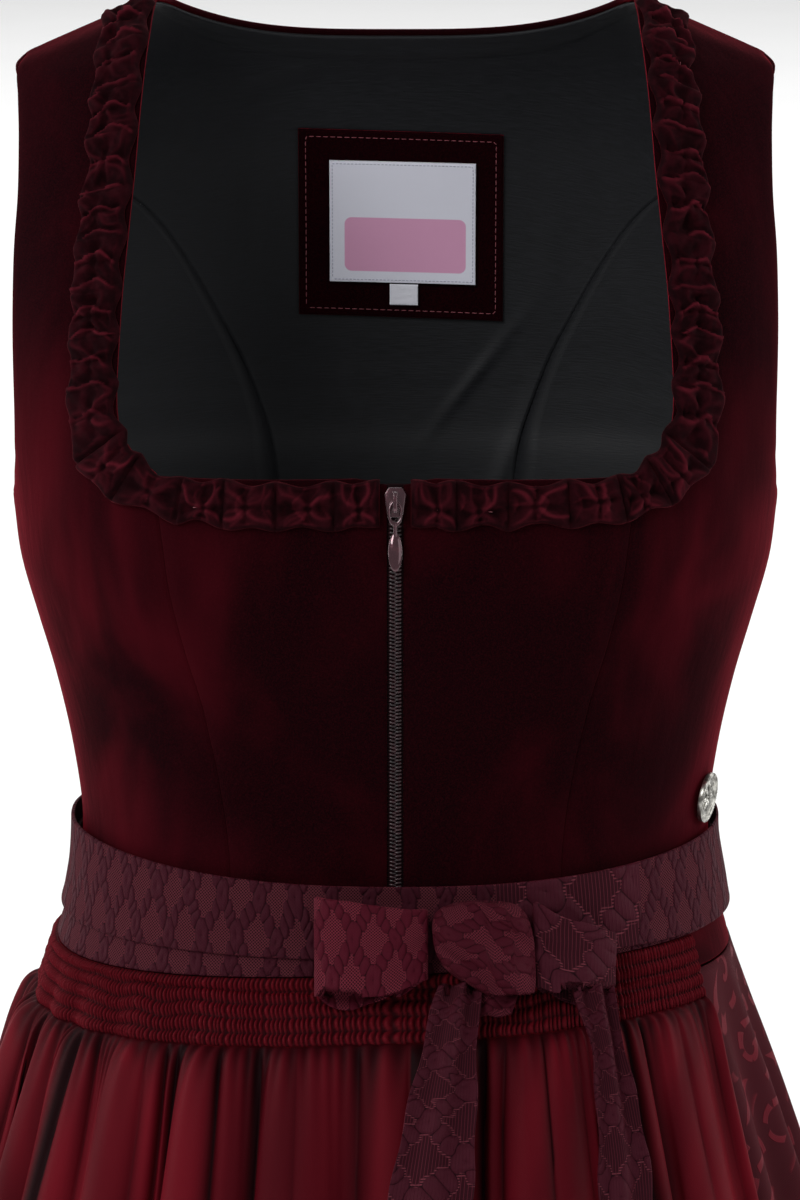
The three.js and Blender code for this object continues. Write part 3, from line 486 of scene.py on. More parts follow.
# Creases of the back lining: distance from the centre line, height, turn in degrees, half length, half
# width and how far the ridge stands out
BACK_CREASES = [(34, -170, 52, 26, 2.4, 1.0), (-62, -120, 84, 46, 5, 0.7), (66, -110, 86, 50, 5, 0.7),
                (-20, -185, 96, 30, 6, 0.6), (48, -205, 70, 30, 4, 0.9), (-44, -40, 20, 18, 4, 0.5)]
for name, (_, wide, tall, columns, rows) in PANELS.items():
    place = panel_place(name, ZIP_TAPE + CLOTH_GAP)
    column = np.linspace(0, 1, columns)[None, :]
    share = np.linspace(0, 1, rows)[:, None]
    outside = -VELVET_THICK - CLOTH_GAP
    outer = place(column, share, outside, TURNED_IN)
    up = lengths(outer)[1]
    from_top = up[-1] - up
    ridge = 0.55 * bell(from_top - 11.5, 1.3) - 0.35 * bell(from_top - 14.5, 1.6)
    seam = 0.25 * bell(np.minimum(column, 1 - column) * wide, 1.4)
    gathered_in = ridge * (name != "centre_front") + 0.4 * seam
    if name == "centre_back":
        for middle, height, turn, half_length, half_width, stands in BACK_CREASES:
            cos, sin = math.cos(math.radians(turn)), math.sin(math.radians(turn))
            aside, above = outer[..., 0] - middle, outer[..., 2] - height
            run, off = (aside * cos + above * sin) / half_length, (above * cos - aside * sin) / half_width
            gathered_in = gathered_in + stands * np.exp(-(run**2) - off**2)
    inner = place(column, share, outside - LINING_THICK - gathered_in, TURNED_IN)
    for suffix, hand in panel_pair(name):
        piece = shell(f"lining_{name}{suffix}", outer, inner, hand=hand)
        sew_in(piece, lining_finish, "lining", f"{name}{suffix}_lining")

# Velvet bodice. The same seven panels cut in cotton velvet, deep wine, whose short nap looks almost black
# where it faces the eye and glows red where it turns away. The nap is crushed here and there.
velvet = Finish(
    "wine_velvet", Specular_IOR_Level=0.03, Sheen_Weight=1.0, Sheen_Roughness=0.3,
    Sheen_Tint=shade("96182a"), Roughness=0.95,
)
place = velvet.objects()
blotch = velvet.noise(velvet.scaled(place, 1, 1, 0.55), 17.0, 3.0, 0.6)
brushed = velvet.noise(velvet.scaled(place, 60, 60, 14), 3.0, 3.0)
pile = velvet.noise(place, 1900.0, 2.0)
where = velvet.node("ShaderNodeSeparateXYZ", {"Vector": place})
sides = velvet.math("ABSOLUTE", where.outputs[0])
# Painted sheen and painted shade in the base colour: redder towards the sides and lower down, in blotches
# of crushed nap, and darker high up on the straps
painted_shade_up_high = velvet.step(where.outputs[2], -0.21, -0.1, 1.0, 0.3)
glow = velvet.times(velvet.step(blotch, 0.4, 0.75), velvet.step(sides, 0.03, 0.14, 0.25, 1.0))
glow = velvet.times(glow, painted_shade_up_high)
ground = velvet.mix(glow, shade("0b0002"), shade("3c050d"))
velvet_finish = velvet.done(
    velvet.mix(velvet.step(pile, 0.35, 0.75, 0.0, 0.22), ground, shade("3c0810")),
    velvet.bump(velvet.plus(velvet.times(pile, 0.25), brushed), 0.5, 0.55),
)

# Soft creases of the bodice where it pulls over the form: distance from the centre line, height, turn in
# degrees, half length, half width and how far the ridge stands out
CREASES = [
    (-58, -350, 74, 22, 5, 0.9), (-30, -343, 82, 20, 5, 0.7), (34, -345, 84, 22, 6, 0.8),
    (66, -348, 78, 18, 5, 0.9), (-88, -318, 24, 26, 7, 1.1), (-78, -292, 30, 30, 9, 0.9),
    (90, -312, -24, 26, 7, 1.1), (84, -286, -30, 28, 9, 0.9), (-112, -246, 48, 30, 8, 1.0),
    (114, -240, -50, 30, 8, 1.0), (-128, -196, 66, 24, 7, 0.8), (128, -190, -66, 26, 7, 0.8),
    (-18, -262, 86, 44, 6, 0.8), (20, -250, 88, 40, 7, 0.7), (-52, -226, 12, 26, 12, 0.8),
    (54, -222, -12, 28, 12, 0.8), (-136, -120, 84, 40, 9, 0.7), (138, -112, -84, 36, 9, 0.7),
]


def creased(points, scale=1.0):
    """How far the creases push out a point of the bodice."""
    x, y, z = np.moveaxis(points, -1, 0)
    raised = np.zeros_like(x)
    for middle, height, turn, half_length, half_width, stands in CREASES:
        cos, sin = math.cos(math.radians(turn)), math.sin(math.radians(turn))
        along_it = ((x - middle) * cos + (z - height) * sin) / half_length
        across_it = ((z - height) * cos - (x - middle) * sin) / half_width
        raised += stands * np.exp(-(along_it**2) - across_it**2)
    return scale * raised * ramp(-y, 60)


for name, (_, wide, tall, columns, rows) in PANELS.items():
    place = panel_place(name, ZIP_EDGE)
    column, sunk_across = rounded(wide, columns)
    share, sunk_up = rounded(tall, rows)
    column, share = column[None, :], share[:, None]
    sunk = np.maximum(sunk_across[None, :], sunk_up[:, None])
    seam_pull = 0.45 * bell(np.minimum(column, 1 - column) * wide, 3.2)
    if name == "centre_front":
        sunk = np.maximum(sunk, 0.5 * bell(column * wide - 8.5, 0.7))
    if name == "centre_back":
        sunk = np.maximum(sunk, 0.7 * bell((column - 0.5) * wide, 0.5))
    for suffix, hand in panel_pair(name):
        flat = place(column, share, 0)
        flat = flat if hand > 0 else mirrored(flat)
        raised = creased(flat)
        outer = place(column, share, raised * np.ones_like(sunk) - sunk - seam_pull * (sunk < 0.4))
        inner = place(column, share, raised * 0.3 - VELVET_THICK)
        piece = shell(f"velvet_{name}{suffix}", outer, inner, hand=hand)
        sew_in(piece, velvet_finish, "velvet", f"{name}{suffix}_velvet")

# Zip. A spiral zip on a woven tape, sewn between velvet and lining so that only its closed teeth show,
# with the edges of the velvet turned back beside it.
zip_weave = Finish("zip_tape", Roughness=0.8, Specular_IOR_Level=0.05)
uv, across, along = zip_weave.cloth()
ribs = zip_weave.wave(along, 0.9)
zip_weave_finish = zip_weave.done(
    zip_weave.mix(zip_weave.step(ribs, -1, 1), shade("0c0406"), shade("1a090c")),
    zip_weave.bump(ribs, 0.1, 0.6),
)
coil = Finish("zip_coil", Roughness=0.32, Specular_IOR_Level=0.4)
wear = coil.noise(coil.objects(), 500.0, 2.0)
coil_finish = coil.done(
    coil.mix(coil.step(wear, 0.3, 0.7), shade("12070a"), shade("2e151a")), coil.bump(wear, 0.05, 0.4)
)
ZIP_FOOT, TEETH_FROM = -380, -378
ZIP_TOP, ZIP_BOTTOM, TAPE_OUT = NECKLINE - 0.06, row_at(ZIP_FOOT), -2.1
SLIDER_HEIGHT = -187
# Stations across the tape, from edge to edge over its chain
sections = np.array([-13, -8, -3.2, -2.4, 0, 2.4, 3.2, 8, 13])[None, :]
zip_rows = np.linspace(ZIP_BOTTOM, ZIP_TOP, 120)[:, None]
from_side = angle_of_x(sections, zip_rows)
zip_angle = np.where(sections < 0, from_side - math.pi, -from_side)
tape_face = TAPE_OUT + np.array([0, 0, 0.2, 0.7, 0.9, 0.7, 0.2, 0, 0])[None, :]
tape_outer = on_dress(zip_angle, zip_rows, tape_face)
tape = shell("zip_tape_cloth", tape_outer, on_dress(zip_angle, zip_rows, TAPE_OUT - LINING_THICK))
sew_in(tape, zip_weave_finish, "zip", "zip_tape")


def beads(name, starts, ends, ups, radius, high, bent=0.0):
    """Many small rounded bars, such as teeth or stitches, as one piece."""
    stations, sides = np.array([0, 0.12, 0.5, 0.88, 1]), 6
    thick = np.array([0.45, 0.95, 1.0, 0.95, 0.45])
    turn = np.linspace(0, 2 * math.pi, sides, endpoint=False)
    run = ends - starts
    wide = np.cross(ups, run)
    wide = wide / np.linalg.norm(wide, axis=-1, keepdims=True)
    lift = bent * np.sin(stations * math.pi)
    line = starts[:, None] + run[:, None] * stations[:, None] + ups[:, None] * lift[:, None]
    across = wide[:, None, None] * (radius * thick[:, None] * np.cos(turn))[..., None]
    rising = ups[:, None, None] * (high * thick[:, None] * np.sin(turn))[..., None]
    points = (line[:, :, None] + across + rising).reshape(-1, 3)
    block = len(stations) * sides
    faces = []
    for s in range(len(stations) - 1):
        for k in range(sides):
            n = (k + 1) % sides
            faces.append([s * sides + k, s * sides + n, (s + 1) * sides + n, (s + 1) * sides + k])
    caps = [list(range(sides))[::-1], list(range(block - sides, block))]
    every = [[corner + block * b for corner in face] for b in range(len(starts)) for face in faces + caps]
    mesh = bpy.data.meshes.new(name)
    mesh.from_pydata((points * MM).tolist(), [], every)
    mesh.shade_smooth()
    piece = bpy.data.objects.new(name, mesh)
    bpy.context.scene.collection.objects.link(piece)
    bpy.context.view_layer.objects.active = piece
    bpy.ops.object.mode_set(mode="EDIT")
    bpy.ops.mesh.select_all(action="SELECT")
    bpy.ops.mesh.normals_make_consistent(inside=False)
    bpy.ops.object.mode_set(mode="OBJECT")
    return piece


TOOTH_PITCH = 1.55
heights = np.arange(TEETH_FROM, SLIDER_HEIGHT - 4.5, TOOTH_PITCH)
teeth_at = [(side, height + (TOOTH_PITCH / 2 if side > 0 else 0))
            for height in heights for side in (-1, 1)]
tooth_side = np.array([tooth[0] for tooth in teeth_at], float)
tooth_height = np.array([tooth[1] for tooth in teeth_at])
root = face_at(tooth_side * 2.5, tooth_height + 0.25, -0.95)
tip = face_at(-tooth_side * 0.35, tooth_height - 0.25, -0.8)
outward = face_at(0, tooth_height, 1) - face_at(0, tooth_height, 0)
teeth = beads("zip_teeth", root, tip, outward, 0.55, 0.5, 0.18)
sew_in(teeth, coil_finish, "zip")

# Slider and pull. Die cast and enamelled a glossy plum, with a painted silver highlight where the surface
# turns away from view. The pull hangs by its eye on the bar under the slider's arch, and turns there.
enamel = Finish("plum_enamel", Metallic=0.6, Roughness=0.1, Coat_Weight=1.0, Coat_Roughness=0.03)
rubbed = enamel.noise(enamel.objects(), 300.0, 2.0)
painted_highlight_facing = enamel.node("ShaderNodeLayerWeight", {"Blend": 0.35}).outputs["Facing"]
plum = enamel.mix(enamel.step(rubbed, 0.5, 0.8), shade("3c1420"), shade("52242f"))
enamel_finish = enamel.done(
    # Painted silver highlight where the surface turns away from view, over the plum that is rubbed here and
    # there
    enamel.mix(enamel.step(painted_highlight_facing, 0.28, 0.68), plum, shade("f0e6e8")),
    enamel.bump(rubbed, 0.03, 0.3),
    enamel.step(rubbed, 0.3, 0.7, 0.08, 0.16),
)
bpy.ops.object.select_all(action="DESELECT")
slider = bpy.data.objects.new("slider_casting", frame["nodes"]["zip_slider"].data.copy())
bpy.context.scene.collection.objects.link(slider)
bpy.context.view_layer.objects.active = slider
slider.select_set(True)
bpy.ops.object.mode_set(mode="EDIT")
bpy.ops.mesh.select_all(action="SELECT")
bpy.ops.mesh.remove_doubles(threshold=2e-6)
bpy.ops.mesh.dissolve_limited(angle_limit=math.radians(3))
bpy.ops.object.mode_set(mode="OBJECT")
bevel = slider.modifiers.new("worn edge", "BEVEL")
bevel.width, bevel.segments, bevel.limit_method = 0.5 * MM, 3, "ANGLE"
bevel.angle_limit = math.radians(35)
bpy.ops.object.modifier_apply(modifier="worn edge")
bpy.ops.object.shade_smooth_by_angle(angle=math.radians(40))
sew_in(slider, enamel_finish, "zip_metal", "zip_slider")

# The pull: a drawn-out eye, a short neck and a pointed drop, which overlap and hang from the arch
pull_points = np.array([vertex.co for vertex in frame["nodes"]["zip_pull"].data.vertices]) / MM
pull_top = pull_points[pull_points[:, 2] > pull_points[:, 2].max() - 0.4].mean(axis=0)
pull_foot = pull_points[pull_points[:, 2] < pull_points[:, 2].min() + 0.4].mean(axis=0)
PULL_LONG = float(np.linalg.norm(pull_top - pull_foot))
pull_tilt = math.atan2(float(pull_foot[1] - pull_top[1]), float(pull_top[2] - pull_foot[2]))
EYE_RADIUS, EYE_WIRE, EYE_STRETCH, EYE_MIDDLE = 2.45, 0.52, 1.75, 5.0
STEM_RADIUS, STEM_LONG, STEM_MIDDLE = 0.8, 5.0, 11.6
DROP_WIDE, DROP_THICK, DROP_TALL = 2.75, 1.0, 7.6
bpy.ops.mesh.primitive_torus_add(
    major_radius=EYE_RADIUS * MM, minor_radius=EYE_WIRE * MM, major_segments=40, minor_segments=12,
    rotation=(math.pi / 2, 0, 0), location=(0, 0, 0),
)
pull = bpy.context.object
pull.name = "pull_casting"
bpy.ops.object.transform_apply(rotation=True)
bpy.ops.object.mode_set(mode="EDIT")
bpy.ops.mesh.select_all(action="SELECT")
bpy.ops.transform.resize(value=(1, 1, EYE_STRETCH), center_override=(0, 0, 0))
bpy.ops.transform.translate(value=(0, 0, -EYE_MIDDLE * MM))
bpy.ops.mesh.select_all(action="DESELECT")
bpy.ops.mesh.primitive_cylinder_add(radius=STEM_RADIUS * MM, depth=STEM_LONG * MM, vertices=20,
                                    location=(0, 0, -STEM_MIDDLE * MM))
bpy.ops.mesh.select_all(action="DESELECT")
bpy.ops.mesh.primitive_uv_sphere_add(radius=1 * MM, segments=32, ring_count=24, location=(0, 0, 0))
bpy.ops.transform.resize(value=(DROP_WIDE, DROP_THICK, DROP_TALL), center_override=(0, 0, 0))
bpy.ops.transform.translate(value=(0, 0, (DROP_TALL - PULL_LONG) * MM))
bpy.ops.mesh.select_all(action="SELECT")
bpy.ops.transform.rotate(value=-pull_tilt, orient_axis="X", center_override=(0, 0, 0))
bpy.ops.transform.translate(value=tuple(float(v) * MM for v in pull_top))
bpy.ops.mesh.normals_make_consistent(inside=False)
bpy.ops.object.mode_set(mode="OBJECT")
bpy.ops.object.shade_smooth_by_angle(angle=math.radians(60))
sew_in(pull, enamel_finish, "zip_metal", "zip_pull", body="pull_tab")

# Neckline trim. A doubled strip of the velvet on each front edge, folded in box pleats whose two folds
# are caught together with a few stitches halfway across, so that they stand up and open like mouths.
TRIM_EDGE = [(98.5, -2.5), (101, -17), (103, -36), (105, -60), (107.5, -84), (110, -115), (111, -140),
             (109, -160), (101, -173), (88, -180.5), (68, -181.5), (45, -182), (24, -181.5), (6, -180)]
TRIM_OUTER = [(117, -2.5), (119.5, -17), (121.5, -36), (123.5, -60), (125.5, -84), (127.5, -115),
              (129, -143), (127.5, -172), (112, -190), (92, -197), (69, -198.5), (45, -199),
              (24, -198.5), (6, -198)]


def smooth_line(points, share):
    """A smooth line through points, at shares of their number."""
    points = np.array(points, float)
    padded = np.concatenate([2 * points[:1] - points[1:2], points, 2 * points[-1:] - points[-2:-1]])
    at = np.clip(np.asarray(share) * (len(points) - 1), 0, len(points) - 1 - 1e-9)
    low = np.floor(at).astype(int)
    t = (at - low)[..., None]
    p0, p1, p2, p3 = (padded[low + k] for k in range(4))
    return 0.5 * (2 * p1 + (p2 - p0) * t + (2 * p0 - 5 * p1 + 4 * p2 - p3) * t**2
                  + (3 * p1 - p0 - 3 * p2 + p3) * t**3)


crushed = Finish(
    "pleated_velvet", Specular_IOR_Level=0.03, Sheen_Weight=0.9, Sheen_Roughness=0.3,
    Sheen_Tint=shade("5e1a22"), Roughness=0.95,
)
place = crushed.objects()
nap = crushed.noise(place, 1900.0, 2.0)
bruise = crushed.noise(place, 190.0, 3.0)
# Painted light on the crests of the pleats and painted shade in their hollows and mouths, read from the
# piece's fold attribute
painted_crest_light = crushed.step(crushed.folds(), 0.3, 1.2)
pile_with_painted_fold_shade = crushed.mix(painted_crest_light, shade("120305"), shade("47111a"))
trim_finish = crushed.done(
    crushed.mix(crushed.step(bruise, 0.4, 0.7, 0.0, 0.55), pile_with_painted_fold_shade, shade("2a080e")),
    crushed.bump(crushed.plus(crushed.times(nap, 0.25), bruise), 0.5, 0.6),
)

TRIM_UNITS, TRIM_COLUMNS, TRIM_ROWS, TRIM_OUT = 15, 30, 26, 0.55
UNIT_LONG, UNIT_WIDE, TRIM_WIDE = 23, 19, 18
STITCH_ACROSS, STITCH_HALF, STITCH_HIGH = 0.52, 0.9, 2.9
middle_shares = np.linspace(0, 1, 600)
middle = (smooth_line(TRIM_EDGE, middle_shares) + smooth_line(TRIM_OUTER, middle_shares)) / 2
middle_steps = np.linalg.norm(np.diff(face_at(middle[:, 0], middle[:, 1]), axis=0), axis=-1)
middle_reach = np.concatenate([[0], np.cumsum(middle_steps)])


def share_along(units):
    """The share of the trim's own length at a count of its blocks."""
    return np.interp(units / TRIM_UNITS * middle_reach[-1], middle_reach, middle_shares)


unit = np.linspace(0, TRIM_UNITS, TRIM_UNITS * TRIM_COLUMNS + 1)[None, :]
share_across = np.linspace(0, 1, TRIM_ROWS)[:, None]
trim_draw = np.random.default_rng(5)
for suffix, hand in (("_right", 1), ("_left", -1)):
    lean, spread, rise, twist = trim_draw.uniform(-1, 1, (4, TRIM_UNITS))
    ridge_turn, ridge_high = trim_draw.uniform(-1, 1, (2, 3, 4, TRIM_UNITS))
    number = np.minimum(unit.astype(int), TRIM_UNITS - 1)
    phase = unit - number - 0.5
    swing = 0.05 * twist[number] * (share_across - 0.5) * np.cos(math.pi * phase)
    phase = phase + swing + 0 * share_across
    tie_across = 0.55 + 0.11 * lean[number]
    away_along = UNIT_LONG * (phase - 0.09 * spread[number])
    away_across = UNIT_WIDE * (share_across - tie_across)
    away = np.hypot(away_along, away_across)
    steep = np.degrees(np.arctan2(np.abs(away_across), np.abs(away_along)))
    towards_neck = away_across < 0
    beside = np.where(away_along < 0, spread[number], twist[number])
    quarter = 2 * (away_along < 0) + towards_neck
    ridge = 0.0
    for k, first_turn in enumerate((46, 70, 24)):
        ridge_at = first_turn + 22 * ridge_turn[k, quarter, number]
        ridge_at = ridge_at + 13 * np.sin(away / 2.8 + 3 * lean[number] + k)
        narrow = np.degrees((1.05 - 0.15 * k) / np.maximum(away, 1.6))
        strong = (1.0, 0.6, 0.5)[k] * (0.6 + 0.4 * ridge_high[k, quarter, number])
        ridge = np.maximum(ridge, strong * bell(steep - ridge_at, narrow))
    ridge = ridge * ramp(away, 2)
    near_end, near_side = 2 * np.abs(phase), np.abs(2 * share_across - 1)
    on_strap = np.clip((9.5 - unit) / 1.5, 0.3, 1)
    ends_round = between((1 - np.clip(near_end, 0, 1) ** 7) ** 0.7, 1, 0.8 * on_strap)
    block = ends_round * (1 - near_side**6) ** 0.5
    lip_curve = 0.3 * np.sin(math.pi * share_across + 0.5 * lean[number]) + 0.14 * rise[number]
    tile = (2 * unit + lip_curve + 0.1 * np.sin(9 * share_across + 5 * spread[number])) % 1
    tile_rise = on_strap * (1.9 * (1 - tile) ** 1.4 - 0.6)
    tile_lit = on_strap * bell(tile - 0.07, 0.07) * (0.75 + 0.25 * twist[number])
    mouth_wide = 19 + 9 * beside + 5 * towards_neck
    mouth = bell(steep - 90, mouth_wide) * ramp(away - 1.2, 2.5)
    mouth = mouth * ramp(0.96 - near_side, 0.2)
    dimple = bell(steep - 4 * beside, 17) * ramp(away - 2, 3)
    dimple = dimple * ramp(0.93 - near_end, 0.24) * 0.55
    lip = bell(near_side - 0.88, 0.1) * bell(steep - 90, 40)
    pinch_in = bell(away, 1.9)
    crumple = 0.55 * np.sin(19 * phase + 15 * share_across + 6 * lean[number])
    crumple = crumple * np.sin(9 * share_across + 3 * beside)
    stands = 3.9 + 0.5 * rise[number] + crumple
    mouth_deep = (0.5 + 0.22 * beside + 0.16 * towards_neck) * mouth
    hollow = np.maximum(mouth_deep, dimple * (1 + 0.6 * twist[number]))
    body = stands * (1 - hollow) * (1 - 0.5 * pinch_in)
    height = 0.7 + block * (body + 1.1 * ridge + 0.7 * lip + tile_rise)
    # Painted light and shade of the pleats: painted light on ridges, lips and the edges of the tiles,
    # painted shade in the mouths, dimples and at the pinch
    lit_fold = 0.2 + 0.35 * (block - hollow) + (0.75 - 0.35 * on_strap) * ridge + 0.45 * lip
    lit_fold = lit_fold + 0.7 * tile_lit - 0.3 * on_strap * tile - 0.4 * pinch_in
    lit_fold = np.clip(lit_fold, 0, 1.2) * block
    height = np.maximum(height, 0.5)
    step_along = 0.16 * np.interp(unit, np.arange(TRIM_UNITS + 1), np.append(0, np.append(lean[1:], 0)))
    along_trim = share_along(unit + step_along) + 0 * share_across
    ragged = 1.3 * np.where(share_across > 0.5, rise[number], 0.4 * lean[number])
    ragged = ragged * np.cos(math.pi * phase)
    bulge = ragged - 1.2 * np.cos(2 * math.pi * (phase + 0.06 * beside))
    bulge = bulge * (2 * share_across - 1) / TRIM_WIDE
    bulge = bulge * ramp(TRIM_UNITS - unit, 0.6)
    at_across = (share_across - 0.1 + bulge)[..., None]
    line = between(smooth_line(TRIM_EDGE, along_trim), smooth_line(TRIM_OUTER, along_trim), at_across)
    rim = ramp(np.minimum(share_across, 1 - share_across) * 18, 1.2)
    end = ramp(np.minimum(unit, TRIM_UNITS - unit), 0.06)
    lifted = 0.3 + (height - 0.3) * np.sqrt(1 - (1 - rim) ** 2) * np.sqrt(1 - (1 - end) ** 2)
    x, z = np.maximum(line[..., 0], 3.6), line[..., 1]
    outer = face_at(x, z, TRIM_OUT + lifted)
    inner = face_at(x, z, TRIM_OUT)
    trim = shell(f"pleated_trim{suffix}", outer, inner, depth=lit_fold, hand=hand)
    sew_in(trim, trim_finish, "velvet", f"neck_trim{suffix}")
    pinch = share_along(np.arange(TRIM_UNITS) + 0.5)
    pinched = between(smooth_line(TRIM_EDGE, pinch), smooth_line(TRIM_OUTER, pinch), STITCH_ACROSS)
    beyond = smooth_line(TRIM_EDGE, pinch + 0.004) - smooth_line(TRIM_EDGE, pinch - 0.004)
    beyond = beyond / np.linalg.norm(beyond, axis=-1, keepdims=True)
    starts, ends = pinched - beyond * STITCH_HALF, pinched + beyond * STITCH_HALF
    stitch_out = TRIM_OUT + STITCH_HIGH
    first = face_at(starts[:, 0], starts[:, 1], stitch_out)
    last = face_at(ends[:, 0], ends[:, 1], stitch_out)
    rise_up = face_at(pinched[:, 0], pinched[:, 1], 1) - face_at(pinched[:, 0], pinched[:, 1], 0)
    if hand < 0:
        first, last, rise_up = mirrored(first), mirrored(last), mirrored(rise_up)
    catch = beads(f"trim_stitches{suffix}", first, last, rise_up, 0.12, 0.12, 0.4)
    thread = bpy.data.materials.get("sewing_thread")
    if thread is None:
        cotton = Finish("sewing_thread", Roughness=0.6, Sheen_Weight=0.3)
        twist_lines = cotton.noise(cotton.objects(), 900.0)
        thread = cotton.done(
            cotton.mix(twist_lines, shade("6e2530"), shade("8f4650")), cotton.bump(twist_lines, 0.05)
        )
    sew_in(catch, thread, "velvet")

# Label patch. A turned-in square of the velvet inside the back, edge stitched, that carries a woven satin
# label and a size tab. The tab is left bare, and the label has only its tinted panel.
INSIDE = -4.1


def inside_back(left, right, bottom, top, tilt, out, thick, columns, rows, radius):
    """A patch on the inside of the back, with rounded edges: outer side towards the cloth, then inner."""
    across, sunk_across = rounded(right - left, columns, radius)
    up, sunk_up = rounded(top - bottom, rows, radius)
    x = between(left, right, across)[None, :]
    z = between(bottom, top, up)[:, None] + math.tan(math.radians(tilt)) * (x - (left + right) / 2)
    sunk = np.maximum(sunk_across[None, :], sunk_up[:, None])
    face = face_at(x, z, out - thick + sunk, back=True)
    return face, face_at(x, z, out + 0 * x + 0 * z, back=True)


# Left, right, bottom and top edge, and the tilt in degrees
PATCH, LABEL = (-41, 45.5, -145, -64, -2), (-28, 34, -130, -77, -1.5)
TAB = (-2.5, 9.5, -139.5, -130.6, -1.5)
PATCH_THICK, LABEL_OUT = 1.2, -6.0
patch_face, patch_back = inside_back(*PATCH, INSIDE, PATCH_THICK, 30, 30, 0.9)
patch = shell("velvet_patch", patch_face, patch_back)
sew_in(patch, velvet_finish, "velvet", "label_patch")

ribbon = Finish("woven_label_satin", Roughness=0.45, Sheen_Weight=0.3, Specular_IOR_Level=0.4)
uv, across, along = ribbon.cloth()
weft = ribbon.wave(along, 0.5)
warp = ribbon.wave(across, 0.35)
cross = ribbon.times(weft, warp)
PANEL_HALF_WIDTH, PANEL_MIDDLE, PANEL_HALF_HEIGHT, PANEL_CORNER = 25.5, 16.5, 11.5, 3.0
side_way = ribbon.math("MAXIMUM", ribbon.math("SUBTRACT", ribbon.math("ABSOLUTE", across),
                                              PANEL_HALF_WIDTH - PANEL_CORNER), 0.0)
up_way = ribbon.math("MAXIMUM", ribbon.math("SUBTRACT", ribbon.math("ABSOLUTE", ribbon.math(
    "SUBTRACT", along, PANEL_MIDDLE)), PANEL_HALF_HEIGHT - PANEL_CORNER), 0.0)
corner = ribbon.math("SQRT", ribbon.plus(ribbon.times(side_way, side_way),
                                         ribbon.times(up_way, up_way)))
panel = ribbon.step(corner, PANEL_CORNER - 0.2, PANEL_CORNER + 0.2, 1.0, 0.0)
plain = ribbon.mix(ribbon.step(cross, -1, 1), shade("e3e3ee"), shade("cfd0de"))
tinted = ribbon.mix(ribbon.step(cross, -1, 1), shade("dba3c2"), shade("c98bb0"))
ribbon_finish = ribbon.done(ribbon.mix(panel, plain, tinted), ribbon.bump(cross, 0.06, 0.6))
label_face, label_back = inside_back(*LABEL, LABEL_OUT, PATCH_THICK, 30, 26, 0.4)
label = shell("woven_label", label_face, label_back)
sew_in(label, ribbon_finish, "label", "label")
bare = Finish("size_tab_satin", Roughness=0.5, Sheen_Weight=0.3)
uv, across, along = bare.cloth()
fine = bare.wave(along, 0.5)
bare_finish = bare.done(bare.mix(bare.step(fine, -1, 1), shade("e4e4ec"), shade("cccdd8")),
                        bare.bump(fine, 0.06, 0.6))
tab_face, tab_back = inside_back(*TAB, LABEL_OUT, PATCH_THICK, 10, 8, 0.4)
tab = shell("size_tab_ribbon", tab_face, tab_back)
sew_in(tab, bare_finish, "label", "size_tab")
TAB_SEAM = 0.0015
tab_cut = cut(tab_face)
tab_cut["flat"] = (tab_cut["flat"][0], tab_cut["flat"][1] + TAB_SEAM)


def seam_line(points, pitch, length):
    """Starts and ends of the stitches along a line of places."""
    steps = np.linalg.norm(np.diff(points, axis=0), axis=-1)
    reach = np.concatenate([[0], np.cumsum(steps)])
    begin = np.arange(pitch / 2, reach[-1] - length, pitch)
    at = [np.stack([np.interp(place, reach, points[:, k]) for k in range(2)], -1)
          for place in (begin, begin + length)]
    return at


def box_line(left, right, bottom, top, tilt, inset):
    low, high = (left + inset, bottom + inset), (right - inset, top - inset)
    corners = [low, (high[0], low[1]), high, (low[0], high[1]), low]
    slope = math.tan(math.radians(tilt))
    return np.array([(x, z + slope * (x - (left + right) / 2)) for x, z in corners])


def inside_stitches(name, line, out, pitch, length, radius, finish, slot):
    begin, finish_at = seam_line(line, pitch, length)
    first = face_at(begin[:, 0], begin[:, 1], out, back=True)
    last = face_at(finish_at[:, 0], finish_at[:, 1], out, back=True)
    away = face_at(begin[:, 0], begin[:, 1], out - 1, back=True) - first
    return sew_in(beads(name, first, last, away, radius, radius), finish, slot)


pale_thread = Finish("pale_thread", Roughness=0.6, Sheen_Weight=0.3)
ply = pale_thread.noise(pale_thread.objects(), 900.0)
pale_thread_finish = pale_thread.done(pale_thread.mix(ply, shade("8f90a4"), shade("b9bacb")),
                                      pale_thread.bump(ply, 0.05))
inside_stitches("patch_stitches", box_line(*PATCH, 3.0), INSIDE - PATCH_THICK, 3.0, 2.1, 0.16,
                thread, "velvet")
inside_stitches("label_stitches", box_line(*LABEL, 1.2), LABEL_OUT - PATCH_THICK, 1.6, 1.1, 0.2,
                pale_thread_finish, "label")

# Coin badge. A struck disc of old silver with a roped rim and a plain rosette, sewn over the side front
# just above the tie. It is built flat, then laid on the velvet.
COIN_ANGLE, COIN_HEIGHT = math.radians(-17.3), -323
COIN_RADIUS, COIN_RIM, COIN_THICK, COIN_OUT = 10.3, 8.7, 1.8, 1.2
silver = Finish("old_silver", Metallic=1.0)
tarnish = silver.noise(silver.objects(), 260.0, 4.0)
silver_finish = silver.done(
    silver.mix(silver.step(tarnish, 0.4, 0.65), shade("6f6d68"), shade("c9c7c0")),
    silver.bump(tarnish, 0.08, 0.6), silver.step(tarnish, 0.35, 0.7, 0.42, 0.26),
)
bpy.ops.object.select_all(action="DESELECT")
bpy.ops.mesh.primitive_cylinder_add(vertices=72, radius=COIN_RADIUS * MM, depth=COIN_THICK * MM,
                                    location=(0, 0, COIN_THICK / 2 * MM))
coin = bpy.context.object
coin.name = "rosette_coin"
bpy.ops.object.transform_apply(location=True)


